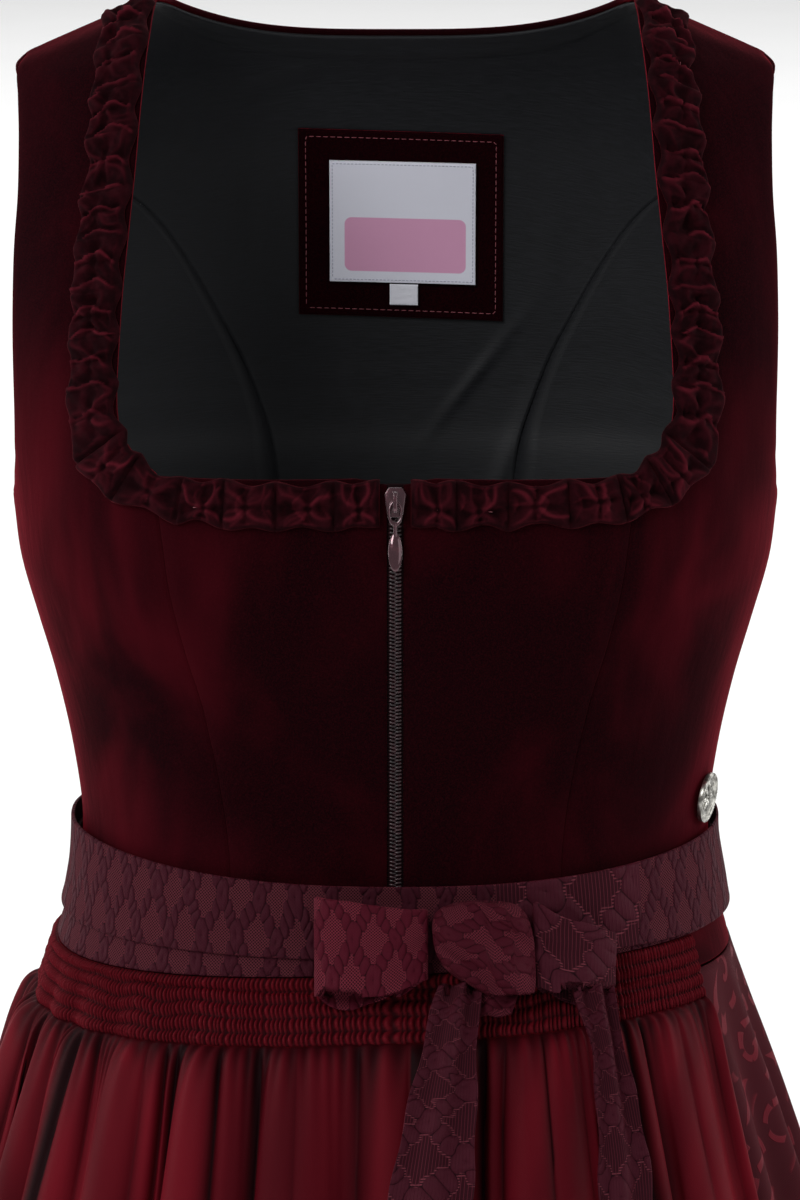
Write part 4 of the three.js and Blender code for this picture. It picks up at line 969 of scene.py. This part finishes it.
def pick_faces(piece, wanted):
    """Selects the faces that the test wants, for the next operator in edit mode."""
    bpy.ops.object.mode_set(mode="OBJECT")
    for group in (piece.data.vertices, piece.data.edges, piece.data.polygons):
        group.foreach_set("select", [False] * len(group))
    for face in piece.data.polygons:
        face.select = wanted(face)
    bpy.ops.object.mode_set(mode="EDIT")


bpy.ops.object.mode_set(mode="EDIT")
bpy.ops.mesh.select_mode(type="FACE")
pick_faces(coin, lambda face: face.normal.z > 0.9)
# Each step inwards on the coin's face, and how far the face then rises
STRIKES = ((COIN_RADIUS - COIN_RIM, 0), (0.25, -0.7), (0.9, 0), (0.25, 0.28), (0.35, 0), (0.2, -0.28))
for inwards, rise in STRIKES:
    bpy.ops.mesh.inset(thickness=inwards * MM)
    if rise:
        bpy.ops.transform.translate(value=(0, 0, rise * MM))
bpy.ops.object.mode_set(mode="OBJECT")
struck = [coin]
ROPE_TURNS, PETALS = 46, 8
for turn in range(ROPE_TURNS):
    around = 2 * math.pi * turn / ROPE_TURNS
    bpy.ops.mesh.primitive_uv_sphere_add(segments=8, ring_count=5, radius=0.62 * MM)
    bead = bpy.context.object
    bead.scale = (1.25, 0.62, 0.55)
    bead.rotation_euler = (0, 0, around + math.radians(42))
    ring_radius = (COIN_RADIUS + COIN_RIM) / 2 * MM
    bead.location = (ring_radius * math.cos(around), ring_radius * math.sin(around), COIN_THICK * MM)
    struck.append(bead)
for petal_ring, (reach, long, wide_by) in enumerate([(3.9, 2.1, 1.0), (2.1, 1.3, 0.75)]):
    for petal_number in range(PETALS):
        around = 2 * math.pi * (petal_number + petal_ring / 2) / PETALS
        bpy.ops.mesh.primitive_uv_sphere_add(segments=12, ring_count=8, radius=1 * MM)
        petal = bpy.context.object
        petal.scale = (long, wide_by, 0.55 + 0.2 * petal_ring)
        petal.rotation_euler = (0, 0, around)
        petal.location = (reach * MM * math.cos(around), reach * MM * math.sin(around), 1.2 * MM)
        struck.append(petal)
bpy.ops.mesh.primitive_uv_sphere_add(segments=16, ring_count=10, radius=1.25 * MM,
                                     location=(0, 0, 1.5 * MM))
bpy.context.object.scale = (1, 1, 0.8)
struck.append(bpy.context.object)
bpy.ops.object.select_all(action="DESELECT")
for part in struck:
    part.select_set(True)
bpy.context.view_layer.objects.active = coin
bpy.ops.object.transform_apply(location=True, rotation=True, scale=True)
bpy.ops.object.join()
bevel = coin.modifiers.new("struck edge", "BEVEL")
bevel.width, bevel.segments, bevel.limit_method = 0.12 * MM, 2, "ANGLE"
bpy.ops.object.modifier_apply(modifier="struck edge")
bpy.ops.object.shade_smooth_by_angle(angle=math.radians(50))
coin_row = row_at(COIN_HEIGHT)
seat = on_dress(COIN_ANGLE, coin_row, COIN_OUT)
outward = on_dress(COIN_ANGLE, coin_row, COIN_OUT + 1) - seat
turned = Vector(outward).to_track_quat("Z", "Y").to_matrix().to_4x4()
coin.data.transform(Matrix.Translation(Vector(seat) * MM) @ turned)
sew_in(coin, silver_finish, "badge", "coin_badge")

# Skirt. Two straight widths of a jacquard cloth, burgundy with brighter satin scrolls, joined at the
# sides and gathered into the waist seam, where they fall in deep round folds.
brocade = Finish("scroll_brocade", Specular_IOR_Level=0.05, Sheen_Weight=0.15, Sheen_Roughness=0.4,
                 Sheen_Tint=shade("a02030"))
uv, across, along = brocade.cloth()
SCROLL = 56.0
sway = brocade.noise(brocade.scaled(uv, 0.028, 0.028, 1), 1.0, 1.0)
wander = brocade.noise(brocade.scaled(uv, 0.011, 0.011, 0.011), 1.0, 1.0)


def scrolls(offset_across, offset_along, turn_way):
    """Spiral tendrils with round leaves, one in each cell of the pattern's grid."""
    local = []
    for way, offset in ((across, offset_across), (along, offset_along)):
        bent_way = brocade.plus(way, brocade.times(sway, 26.0))
        cell = brocade.math("FRACT", brocade.plus(brocade.times(bent_way, 1 / SCROLL), offset))
        local.append(brocade.math("SUBTRACT", cell, 0.5))
    x, y = local
    far = brocade.math("SQRT", brocade.plus(brocade.times(x, x), brocade.times(y, y)))
    turn = brocade.math("ARCTAN2", y, x)
    wound = brocade.plus(brocade.times(turn, turn_way), brocade.times(far, 26.0))
    tendril = brocade.step(brocade.math("SINE", wound), 0.45, 0.75)
    leafy = brocade.math("SINE", brocade.plus(brocade.times(turn, 5.0),
                                              brocade.times(wander, 9.0)))
    leaf = brocade.step(brocade.plus(leafy, brocade.times(far, -6.0)), -1.9, -1.6)
    within = brocade.step(far, 0.36, 0.46, 1.0, 0.0)
    return brocade.times(brocade.times(tendril, leaf), within)


figure = brocade.math("MAXIMUM", scrolls(0.0, 0.0, 1.0), scrolls(0.5, 0.5, -1.0))
ground_weave = brocade.wave(brocade.plus(across, along), 0.9)
satin_weave = brocade.wave(across, 0.6)
weave = brocade.times(brocade.plus(ground_weave, satin_weave), 0.16)
cloud = brocade.noise(brocade.scaled(uv, 0.01, 0.01, 1), 1.5, 3.0)
brocade_finish = brocade.done(
    brocade.mix(figure, brocade.mix(cloud, shade("2e090e"), shade("3c0e17")), shade("560e1a")),
    brocade.bump(brocade.plus(brocade.times(figure, 1.2), weave), 0.35, 0.8),
    brocade.step(figure, 0.0, 1.0, 0.75, 0.48),
)
BROCADE_THICK, SKIRT_COLUMNS, SKIRT_ROWS = 1.3, 300, 56
skirt_row = np.linspace(0.12, WAIST - 0.015, SKIRT_ROWS - 4)
skirt_row = np.concatenate([np.linspace(0, 0.06, 4), skirt_row])[:, None]


def skirt_wobble(angle, row):
    """Small uneven swells between the main folds, none at the seams or at the waist."""
    drop = ramp(WAIST - 0.4 - row, 3)
    return drop * 1.6 * np.sin(9 * angle + 1.7 * np.sin(row * 1.4)) * np.sin(2 * angle) ** 2


for name, first, last in (("skirt_back_width", 0, math.pi), ("skirt_front_width", math.pi, 2 * math.pi)):
    angle = np.linspace(first + 0.001, last - 0.001, SKIRT_COLUMNS)[None, :]
    edge = ramp(skirt_row, 0.03)
    outer = on_dress(angle, skirt_row, skirt_wobble(angle, skirt_row) - 0.5 * (1 - edge))
    inner = on_dress(angle, skirt_row, skirt_wobble(angle, skirt_row) - BROCADE_THICK)
    width = shell(name, outer, inner)
    sew_in(width, brocade_finish, "brocade", "skirt_back" if first == 0 else "skirt_front")

# Apron width. One straight width of a thin, satin-faced crepe, hemmed round three sides and gathered
# closely into the yoke, so that it falls in narrow soft folds.
crepe = Finish("wine_crepe", Specular_IOR_Level=0.03, Sheen_Weight=0.2, Sheen_Roughness=0.3,
               Sheen_Tint=shade("a80f22"))
uv, across, along = crepe.cloth()
thread_across = crepe.wave(across, 0.8)
thread_along = crepe.wave(along, 0.8)
pebble = crepe.noise(crepe.scaled(uv, 1, 1, 1), 1.6, 2.0)
sheer = crepe.noise(crepe.scaled(uv, 0.02, 0.003, 1), 1.0, 2.0)
open_cloth = crepe.mix(crepe.step(sheer, 0.3, 0.7), shade("3c060e"), shade("5c0c17"))
# Painted shade in the bottoms of the folds, read from the piece's fold attribute, over the cloth's own
# colour
crepe_finish = crepe.done(
    crepe.mix(crepe.step(crepe.folds(), 0.1, 0.85), shade("120204"), open_cloth),
    crepe.bump(crepe.plus(pebble, crepe.times(crepe.times(thread_across, thread_along), 0.3)), 0.12, 0.55),
    crepe.step(pebble, 0.3, 0.7, 0.5, 0.64),
)


def angle_at_phase(phase):
    angle = phase / FOLDS
    for _ in range(12):
        angle = angle - (fold_phase(angle) - phase) / FOLDS
    return angle


def fold_column(degrees):
    return round(float(fold_phase(math.radians(degrees))) / (2 * math.pi) * 4)


APRON_FROM, APRON_TO = fold_column(-190), fold_column(-30)


def column_angle(column):
    return angle_at_phase(np.asarray(column, float) / 4 * 2 * math.pi)


APRON_LEFT, APRON_RIGHT = float(column_angle(APRON_FROM)), float(column_angle(APRON_TO))


def band_bottom(angle):
    return -380.5 + 6.5 * np.cos(angle)


YOKE_DEEP = 25.0
GATHERS = 195


def yoke_top(angle):
    return band_bottom(angle) - 0.3


def yoke_bottom(angle):
    return yoke_top(angle) - YOKE_DEEP


APRON_COLUMNS, APRON_ROWS, APRON_HEM, CREPE_THICK = 620, 40, -1000, 0.8
apron_share = np.linspace(0, 1, APRON_COLUMNS)[None, :]
apron_angle = between(APRON_LEFT, APRON_RIGHT, apron_share)
apron_down = np.concatenate([np.linspace(0, 0.06, 10)[:-1], np.linspace(0.06, 1, APRON_ROWS)])[:, None]
apron_top = row_at(yoke_bottom(apron_angle) + 0.5)
apron_row = between(apron_top, row_at(APRON_HEM), apron_down)
APRON_FOLDS = 29
fold_draw = np.random.default_rng(11)
fold_at = np.cumsum(fold_draw.uniform(0.55, 1.7, APRON_FOLDS + 1) ** 1.7)
fold_at = (fold_at - fold_at[0]) / (fold_at[-1] - fold_at[0])
fold_high = fold_draw.uniform(0.25, 1.0, APRON_FOLDS + 1)
fold_ends = fold_draw.uniform(0.25, 1.6, APRON_FOLDS + 1)
drift = 0.006 * np.sin(5 * apron_down + 9 * apron_share) * apron_down
place_in_folds = np.interp(np.clip(apron_share + drift, 0, 1), fold_at, np.arange(APRON_FOLDS + 1))
fold_number = np.clip(place_in_folds.astype(int), 0, APRON_FOLDS - 1)
in_fold = (place_in_folds - fold_number) ** fold_draw.uniform(0.65, 1.5, APRON_FOLDS)[fold_number]
opened = 1 - np.exp(-apron_down / 0.035)
creased_fold = (np.abs(np.sin(math.pi * in_fold)) + 1e-6) ** 0.62
lasting = np.clip(1.25 - apron_down / fold_ends[fold_number] * 0.55, 0.3, 1)
broad = 2.1 * (1 + np.sin(44 * apron_share + 2.5 * np.sin(13 * apron_share) + 1.2 * apron_down))
painted_fold_light_and_shade = (0.4 + 7.4 * creased_fold * fold_high[fold_number] * lasting + broad) * opened
short_gathers = np.sin(2 * math.pi * 74 * apron_share + 5 * np.sin(23 * apron_share) + 3 * apron_down)
painted_fold_light_and_shade = painted_fold_light_and_shade + 1.3 * (1 + short_gathers) * opened * np.exp(-apron_down / 0.07)
gather_wave = 0.5 * np.exp(-apron_down / 0.03) * (1 + np.cos(2 * math.pi * GATHERS / 3 * apron_share))
hem_roll = 0.5 * bell(1 - apron_down, 0.004)
apron_out = 1.4 + 0.5 + painted_fold_light_and_shade + gather_wave - hem_roll
apron_outer = on_dress(apron_angle, apron_row, apron_out + CREPE_THICK)
apron_inner = on_dress(apron_angle, apron_row, apron_out)
# Painted shade: darker in the valleys of the folds, between the short gathers and just under the yoke
apron_painted_shade = 1 - (1 - creased_fold) * fold_high[fold_number] * lasting - 0.3 * (1 - broad / 4.2)
apron_painted_shade = apron_painted_shade - 0.3 * (1 - short_gathers) * np.exp(-apron_down / 0.07)
apron_painted_shade = between(0.3, apron_painted_shade, opened)
apron = shell("apron_width", apron_outer, apron_inner, depth=apron_painted_shade)
sew_in(apron, crepe_finish, "chiffon", "apron_skirt")

# Smocked yoke. The top of the apron's width, drawn up on five cords into upright gathers that are
# caught between the cords, so that each row swells into small round pillows.
smocked = Finish("smocked_crepe", Specular_IOR_Level=0.03, Sheen_Weight=0.3, Sheen_Roughness=0.3,
                 Sheen_Tint=shade("a80f22"), Roughness=0.5)
uv, across, along = smocked.cloth()
grain = smocked.noise(uv, 1.4, 2.0)
lit = smocked.mix(smocked.step(grain, 0.3, 0.7), shade("430910"), shade("5a0d17"))
# Painted shade between the pillows, read from the piece's fold attribute, and the cloth's colour on them
smocked_finish = smocked.done(
    smocked.mix(smocked.step(smocked.folds(), 0.08, 0.8), shade("1a0205"), lit),
    smocked.bump(grain, 0.15, 0.5),
)
YOKE_OUT, CORD_ROWS, GATHER_COLUMNS, CORD_STEPS = 1.3, 5, 5, 6
yoke_share = np.linspace(0, 1, GATHERS * GATHER_COLUMNS + 1)[None, :]
yoke_down = np.linspace(0, 1, CORD_ROWS * CORD_STEPS + 1)[:, None]
yoke_angle = between(APRON_LEFT, APRON_RIGHT, yoke_share)
in_row = yoke_down * CORD_ROWS
row_number = np.minimum(in_row.astype(int), CORD_ROWS - 1)
swell = np.sin(math.pi * (in_row - row_number)) ** 0.8
gather_draw = np.random.default_rng(23)
uneven = np.interp(yoke_share * GATHERS, np.arange(GATHERS + 1), gather_draw.uniform(-1, 1, GATHERS + 1))
bent = 0.4 * np.sin(math.pi * (in_row - row_number)) * np.where(row_number % 2 == 0, 1, 0.7)
wave = np.cos(2 * math.pi * (yoke_share * GATHERS + bent + 0.3 * uneven))
pillow = (0.5 + 0.5 * wave) ** 1.1
yoke_height = 1.0 + 0.5 * swell + (0.55 + 1.25 * swell + 0.2 * uneven) * pillow
slack = 0.9 * np.sin(yoke_share * 40 + 3 * np.sin(yoke_share * 17))
yoke_z = between(yoke_bottom(yoke_angle), yoke_top(yoke_angle), yoke_down)
yoke_z = yoke_z + slack * np.sin(math.pi * yoke_down)
yoke_outer = on_dress(yoke_angle, row_at(yoke_z), YOKE_OUT + yoke_height)
yoke_inner = on_dress(yoke_angle, row_at(yoke_z), YOKE_OUT + 0 * yoke_height)
# Painted shade between the gathers and along the cords, painted light on the pillows
yoke = shell("smocked_yoke", yoke_outer, yoke_inner, depth=(0.25 + 0.75 * pillow) * (0.5 + 0.5 * swell))
sew_in(yoke, smocked_finish, "chiffon", "apron_yoke")

# Waistband, tie and bow. One long band of quilted jacquard: fine pinkish mesh lozenges between raised,
# scalloped dark outlines. Its first lap is the apron's waistband, the second is tied in front.
JACQUARD_THICK, BAND_OUT, BAND_WIDE, LAP_COLUMNS = 1.6, 1.1, 40, 421
TIE_OUT = BAND_OUT + JACQUARD_THICK + 0.55
BOW_OUT = TIE_OUT + JACQUARD_THICK + 0.6


def figured(name, colors, wide=15.0, high=36.0, turned=False, ribbed=False):
    """Quilted lozenges, wide by high millimetres: a filling of fine mesh or ribs between rows of scales."""
    dark, light, scale_dark, scale_light, edging = [shade(color) for color in colors]
    cloth = Finish(name, Specular_IOR_Level=0.04, Sheen_Weight=0.14, Sheen_Roughness=0.4,
                   Sheen_Tint=shade("8c2a38"))
    uv, across, along = cloth.cloth()
    if turned:
        across, along = along, across
    stray = cloth.noise(cloth.scaled(uv, 0.07, 0.07, 1), 1.0, 1.0)
    x = cloth.plus(cloth.times(across, 1 / wide), cloth.times(stray, 0.3))
    y = cloth.plus(cloth.times(along, 1 / high), cloth.times(stray, -0.25))
    rising, falling = cloth.plus(x, y), cloth.math("SUBTRACT", x, y)
    edges, scales = [], []
    for one, other in ((rising, falling), (falling, rising)):
        bead = cloth.math("ABSOLUTE", cloth.math("SINE", cloth.times(other, math.pi * 4)))
        middle = cloth.math("ABSOLUTE", cloth.math("SUBTRACT", cloth.math("FRACT", one), 0.5))
        middle = cloth.plus(middle, cloth.times(bead, 0.055))
        crown = cloth.math("SINE", cloth.times(cloth.step(middle, 0.32, 0.52), math.pi * 0.6))
        edges.append(middle)
        scales.append(cloth.times(cloth.math("POWER", bead, 0.4), crown))
    nearest, scale = cloth.math("MAXIMUM", *edges), cloth.math("MAXIMUM", *scales)
    figure = cloth.step(nearest, 0.345, 0.375)
    if ribbed:
        weft = warp = cloth.wave(across, 1.6)
    else:
        weft = cloth.wave(cloth.plus(across, along), 1.3)
        warp = cloth.wave(cloth.math("SUBTRACT", across, along), 1.3)
    mesh = cloth.step(cloth.math("MAXIMUM", weft, warp), 0.6, 0.98)
    fine = cloth.noise(uv, 2.2, 2.0)
    filled = cloth.mix(mesh, dark, light)
    raised = cloth.mix(cloth.step(scale, 0.05, 0.5), scale_dark, scale_light)
    dash = cloth.step(cloth.wave(along, 1.4), -0.2, 0.4)
    near_figure = cloth.math("SUBTRACT", cloth.step(nearest, 0.32, 0.34), cloth.step(nearest, 0.36, 0.38))
    height = cloth.plus(cloth.times(scale, 1.5), cloth.times(mesh, 0.22))
    height = cloth.plus(height, cloth.times(fine, 0.25))
    color = cloth.mix(cloth.times(near_figure, dash), cloth.mix(figure, filled, raised), edging)
    return cloth.done(color, cloth.bump(height, 1.0, 0.9), cloth.step(scale, 0, 1, 0.78, 0.58))


# Colours of the dark and light filling, dark and light scales and edging, then the lozenge's two sizes
tie_finish = figured("figured_jacquard", ["230a10", "5e2b33", "14050a", "35101a", "4a1c26"], 15, 34)
loop_finish = figured("figured_jacquard_bow", ["300a13", "702c38", "1a060b", "450f1c", "5c1f2b"],
                      16.5, 36)
turned_finish = figured("figured_jacquard_knot", ["2a0911", "642833", "170509", "3c0e19", "521c27"],
                        17, 30, True)
reverse_finish = figured("jacquard_reverse", ["290c13", "471a24", "17060b", "3a131d", "5c2a33"], 40, 46,
                         ribbed=True)


def ring_shell(name, outer, inner, upward=None):
    """A closed ring of the band, whose pattern runs straight along its middle."""
    across, up = lengths(outer)
    middle = across[len(across) // 2] + 0 * across
    up = up - BAND_WIDE / 2 if upward is None else upward + 0 * middle
    return shell(name, outer, inner, ring_shaped=True, uv=(middle, up))


def frontness(angle):
    return np.maximum(0, -np.sin(angle)) ** 2


def waist_lap(name, top, bottom, out, wrinkles):
    """A lap of the band round the waist, with rounded edges and soft wrinkles."""
    angle = np.linspace(-math.pi, math.pi, LAP_COLUMNS)[None, :]
    up, sunk = rounded(BAND_WIDE, 16, 0.8)
    up, sunk = up[:, None], sunk[:, None]
    z = between(bottom(angle), top(angle), up)
    slack = np.zeros_like(z)
    for at, height_share, long, high, slant in wrinkles:
        away = (np.degrees(angle) - at + slant * (up - height_share)) / long
        slack += high * np.exp(-(away**2) - ((up - height_share) / 0.22) ** 2)
    roll = 0.35 * np.sin(3 * angle + 5 * up)
    raised = np.maximum(slack + roll - 0.35, -0.6)
    outer = on_dress(angle, row_at(z), out + JACQUARD_THICK - sunk + raised)
    inner = on_dress(angle, row_at(z), out + np.maximum(slack, 0) * 0.5)
    return ring_shell(name, outer, inner), outer


band, band_outer = waist_lap("waistband_lap", lambda a: -344 - 8 * frontness(a), band_bottom, BAND_OUT,
                             [(-150, 0.3, 14, 0.4, 10), (-40, 0.4, 12, 0.3, -8)])
sew_in(band, tie_finish, "jacquard", "apron_waistband")
tie, tie_outer = waist_lap(
    "tie_lap", lambda a: -335.5 - 10 * frontness(a), lambda a: -373.5 - 1.5 * frontness(a), TIE_OUT,
    [(-118, 0.75, 10, 0.9, 30), (-128, 0.3, 12, 0.7, -24), (-60, 0.7, 9, 0.9, -26),
     (-52, 0.35, 10, 0.7, 22), (-152, 0.5, 9, 0.5, 14), (-30, 0.5, 8, 0.5, -12),
     (60, 0.5, 14, 0.5, 16), (120, 0.4, 14, 0.5, -16)])
sew_in(tie, tie_finish, "jacquard", "tie")

LOOP_BACK_DROP = 5.0
# Side, where each loop starts and ends, its top and bottom, depth, share of its height that is kept at
# the knot, droop and finish
LOOPS = [
    ("left", 12.7, -31, -348.5, -390, 14.0, 0.7, 0.0, loop_finish),
    ("right", 52.3, 83, -351, -389, 12.0, 0.9, 9.5, reverse_finish),
]
for name, start, end, top, bottom, deep, kept, droop, finish in LOOPS:
    turn = np.linspace(0, 2 * math.pi, 97)[None, :]
    up, sunk = rounded(42, 18, 0.8)
    up, sunk = up[:, None], sunk[:, None]
    reach = (1 - np.cos(turn)) / 2
    draw = np.clip(reach * 1.6, 0, 1)

    def loop_place(inset):
        half = between(4.6, deep / 2, draw) - inset
        length = abs(end - start) / 2 - inset
        side = np.sign(end - start)
        x = (start + end) / 2 - side * length * power_of(np.cos(turn), 0.8)
        pleat = 0.9 * (1 - draw) * np.cos(2 * math.pi * 3 * up)
        pleat = pleat + 0.5 * np.sin(math.pi * up * 2 + turn) * draw
        out = BOW_OUT + deep / 2 + half * power_of(np.sin(turn), 0.7) + pleat * 0.8
        pinch = between(kept, 1, np.clip(reach * 1.5, 0, 1)) * between(1, 0.62, reach * min(droop, 1))
        z = between((top + bottom) / 2, between(bottom, top, up), pinch) - droop * reach
        z = z + 1.2 * np.sin(2.2 * turn + 1.0) * (1 - draw * 0.5)
        z = z - LOOP_BACK_DROP * np.clip(-np.sin(turn) + 0.2, 0, 1) * draw
        z = z - 3.0 * (droop > 0) * reach**3 * (1 - up)
        return face_at(x + 0 * z, z, out, fold_share=0)

    outer = loop_place(sunk)
    inner = loop_place(JACQUARD_THICK + 0 * sunk)
    loop = ring_shell(f"bow_{name}_loop", outer, inner, (up - 0.5) * BAND_WIDE)
    sew_in(loop, finish, "jacquard", f"bow_loop_{name}")

KNOT_X, KNOT_Z, KNOT_HALF, KNOT_TALL, KNOT_OUT, KNOT_DEEP = 33.5, -369.5, 19, 18.5, BOW_OUT + 8.6, 8.6
tall_turn = np.linspace(-math.pi / 2 + 0.12, math.pi / 2 - 0.12, 44)[:, None]
wrap_turn = np.linspace(0, 2 * math.pi, 121)[None, :]


def knot_place(inset):
    x = power_of(np.cos(wrap_turn), 0.6) * power_of(np.cos(tall_turn), 0.3)
    out = power_of(np.sin(wrap_turn), 0.8) * power_of(np.cos(tall_turn), 0.45)
    height = power_of(np.sin(tall_turn), 0.8)
    front = np.clip(np.sin(wrap_turn), 0, 1)
    slant = height + 0.75 * x
    folds = 1.5 * np.cos(4.2 * slant + 0.9) - 1.6 * bell(slant + 0.62, 0.11)
    folds = folds - 1.0 * bell(slant - 0.75, 0.1) + 1.6 * bell(slant + 0.95, 0.16)
    tall = KNOT_TALL + 4.4 * x - inset
    return face_at(
        KNOT_X + (KNOT_HALF - inset) * x * (1 - 0.05 * height * x) + 1.6 * height**2 * np.sign(-height),
        KNOT_Z + tall * height - 3.4 * x + 0.9 * np.sin(3 * x + 2 * height),
        KNOT_OUT + (KNOT_DEEP - inset) * out + front * (folds - 0.9) - 1.2 * front * height, fold_share=0)


knot_outer, knot_inner = knot_place(0.0), knot_place(JACQUARD_THICK)
knot = ring_shell("bow_wrapped_knot", knot_outer, knot_inner)
sew_in(knot, turned_finish, "jacquard", "bow_knot")

end_down, end_sunk = rounded(20, 16, 0.8)
end_across, end_side_sunk = rounded(15, 12, 0.8)
end_down, end_across = end_down[:, None], 2 * end_across[None, :] - 1
end_sunk = np.maximum(end_sunk[:, None], end_side_sunk[None, :])
end_x = 40 - 2 * end_down + (9.5 - 3 * end_down) * end_across
end_z = -384 - 15 * end_down - 2.2 * end_across * (1 - end_down)
end_out = BOW_OUT + 7.5 - 3.4 * end_down**2 + 1.5 * np.cos(4.5 * end_across + 2 * end_down)
end_outer = face_at(end_x, end_z, end_out + JACQUARD_THICK - end_sunk, fold_share=0)
end_inner = face_at(end_x, end_z, end_out, fold_share=0)
knot_end = shell("bow_knot_end", end_outer, end_inner)
sew_in(knot_end, turned_finish, "jacquard")

# Tails of the bow. The two ends of the band, cut off straight and hemmed, fall from the knot over the
# apron. Both show the reverse, quilted in wide lozenges with a fine rib.
tie.data.materials.append(reverse_finish)
TURNED_FROM, TURNED_TO = 0.040, 0.098
for face in tie.data.polygons:
    if face.center.y < 0 and TURNED_FROM < face.center.x < TURNED_TO:
        face.material_index = 1
# Down each tail: distance from the centre line, height and half width
TAILS = {
    "left": [(25, -388, 8), (20, -412, 10.5), (14, -450, 14.5), (5, -520, 18), (-6, -640, 19),
             (-14, -790, 19.5)],
    "right": [(74, -392, 7), (78, -415, 6), (80, -450, 8), (82, -520, 12), (88, -640, 16), (94, -790, 18)],
}
TAIL_OUT, TAIL_CLEAR, TAIL_LONG, TAIL_HALF, RESTS_FROM = 13.5, 2.0, 400, 19, -400
apron_points = apron_outer.reshape(-1, 3)


def folds_under(x, half, z):
    """How far the apron's folds stand out beneath each height of a tail, evened out."""
    bare = face_at(x, z, 0, fold_share=0)[..., 1]
    reach = []
    for at_x, wide, at_z, at_y in zip(x, half, z, bare):
        near = (np.abs(apron_points[:, 0] - at_x) < wide + 2) & (np.abs(apron_points[:, 2] - at_z) < 9)
        reach.append(at_y - apron_points[near, 1].min() if near.any() else TAIL_OUT)
    padded = np.pad(reach, 12, mode="edge")
    highest = np.max([padded[k:len(padded) - 8 + k] for k in range(9)], axis=0)
    return np.mean([highest[k:k + len(reach)] for k in range(len(highest) - len(reach) + 1)], axis=0)


for name, stations in TAILS.items():
    down, sunk_down = rounded(TAIL_LONG, 110, 0.8)
    across_tail, sunk_across = rounded(36, 26, 0.8)
    down, across_tail = down[:, None], 2 * across_tail[None, :] - 1
    sunk = np.maximum(sunk_down[:, None], sunk_across[None, :])
    line = smooth_line([(x, z) for x, z, _ in stations], down[:, 0])
    half = smooth_line([(half, 0) for _, _, half in stations], down[:, 0])[:, 0][:, None]
    x, z = line[:, :1], line[:, 1:]
    pinched = np.exp(-down / 0.06)
    wave = 1.3 * (1 + np.cos(across_tail * math.pi * 1.5 + 2 * down))
    wave = wave + (1.1 + 1.4 * pinched) * np.sin(across_tail * 6.5 + 5 * down) * np.exp(-down * 1.6)
    rested = folds_under(line[:, 0], half[:, 0], line[:, 1])[:, None] + TAIL_CLEAR
    out = between(TAIL_OUT, rested, ramp(RESTS_FROM - z, 50)) + wave
    out = out + 0.4 * np.sin(17 * down + 2 * across_tail)
    x = x + half * across_tail + 0.5 * np.sin(z / 4.6) * np.abs(across_tail) ** 6 * np.sign(across_tail)
    tail_outer = face_at(x, z, out + JACQUARD_THICK - sunk, fold_share=0)
    tail_inner = face_at(x, z, out, fold_share=0)
    straight = (across_tail * TAIL_HALF + 0 * z, -TAIL_LONG * down + 0 * across_tail)
    tail = shell(f"bow_{name}_tail", tail_outer, tail_inner, uv=straight)
    sew_in(tail, reverse_finish, "jacquard", f"tail_{name}")

# Camera: level with the waist's upper edge, looking down a little, as the photograph does
PHOTO_LOOK = Vector((0.00185, 0, -0.248))
DISTANCE, ELEVATION, LENS = 2.2, math.radians(12), 160.98
camera = bpy.data.objects.new("camera", bpy.data.cameras.new("camera"))
camera.data.sensor_width, camera.data.lens = 36, LENS
camera.location = PHOTO_LOOK + DISTANCE * Vector((0, -math.cos(ELEVATION), math.sin(ELEVATION)))
camera.rotation_euler = (PHOTO_LOOK - camera.location).to_track_quat("-Z", "Y").to_euler()
bpy.context.scene.collection.objects.link(camera)
bpy.context.scene.camera = camera

# Studio: a pale floor, a pale sky, one large soft light from the front left, a weaker fill, two side
# lights that let the pile glow along the edges and one for the floor. Each has its name, place, size,
# watts and the point that it is aimed at.
LIGHTS = [
    ("key", (-1.5, -2.3, 1.7), 1.2, 54, (0, 0, -0.35)),
    ("fill", (1.9, -2.2, 0.7), 1.6, 10, (0, 0, -0.35)),
    ("left_edge", (-1.9, 0.3, 0.3), 1.2, 24, (0, 0, -0.35)),
    ("right_edge", (1.9, 0.3, 0.3), 1.2, 24, (0, 0, -0.35)),
    ("floor_light", (0, 6.0, 3.6), 8.0, 330, (0, 6.0, 0)),
]
for name, place, size, watts, aim in LIGHTS:
    lamp = bpy.data.objects.new(name, bpy.data.lights.new(name, "AREA"))
    lamp.data.shape, lamp.data.size, lamp.data.energy = "SQUARE", size, watts
    lamp.location = place
    lamp.rotation_euler = (Vector(aim) - Vector(place)).to_track_quat("-Z", "Y").to_euler()
    bpy.context.scene.collection.objects.link(lamp)
world = bpy.data.worlds.new("studio")
world.use_nodes = True
world.node_tree.nodes["Background"].inputs["Color"].default_value = (1, 1, 1, 1)
world.node_tree.nodes["Background"].inputs["Strength"].default_value = 0.42
bpy.context.scene.world = world
bpy.context.scene.view_settings.view_transform = "Standard"

bpy.ops.object.select_all(action="DESELECT")
bpy.ops.mesh.primitive_plane_add(size=60, location=(0, 0, -1.05))
floor = bpy.context.object
floor.name = "floor"
paper = Finish("pale_floor", Roughness=0.9)
grain = paper.noise(paper.objects(), 3.0)
floor.data.materials.append(paper.done(paper.mix(grain, (0.93, 0.93, 0.93, 1), (0.96, 0.96, 0.96, 1))))
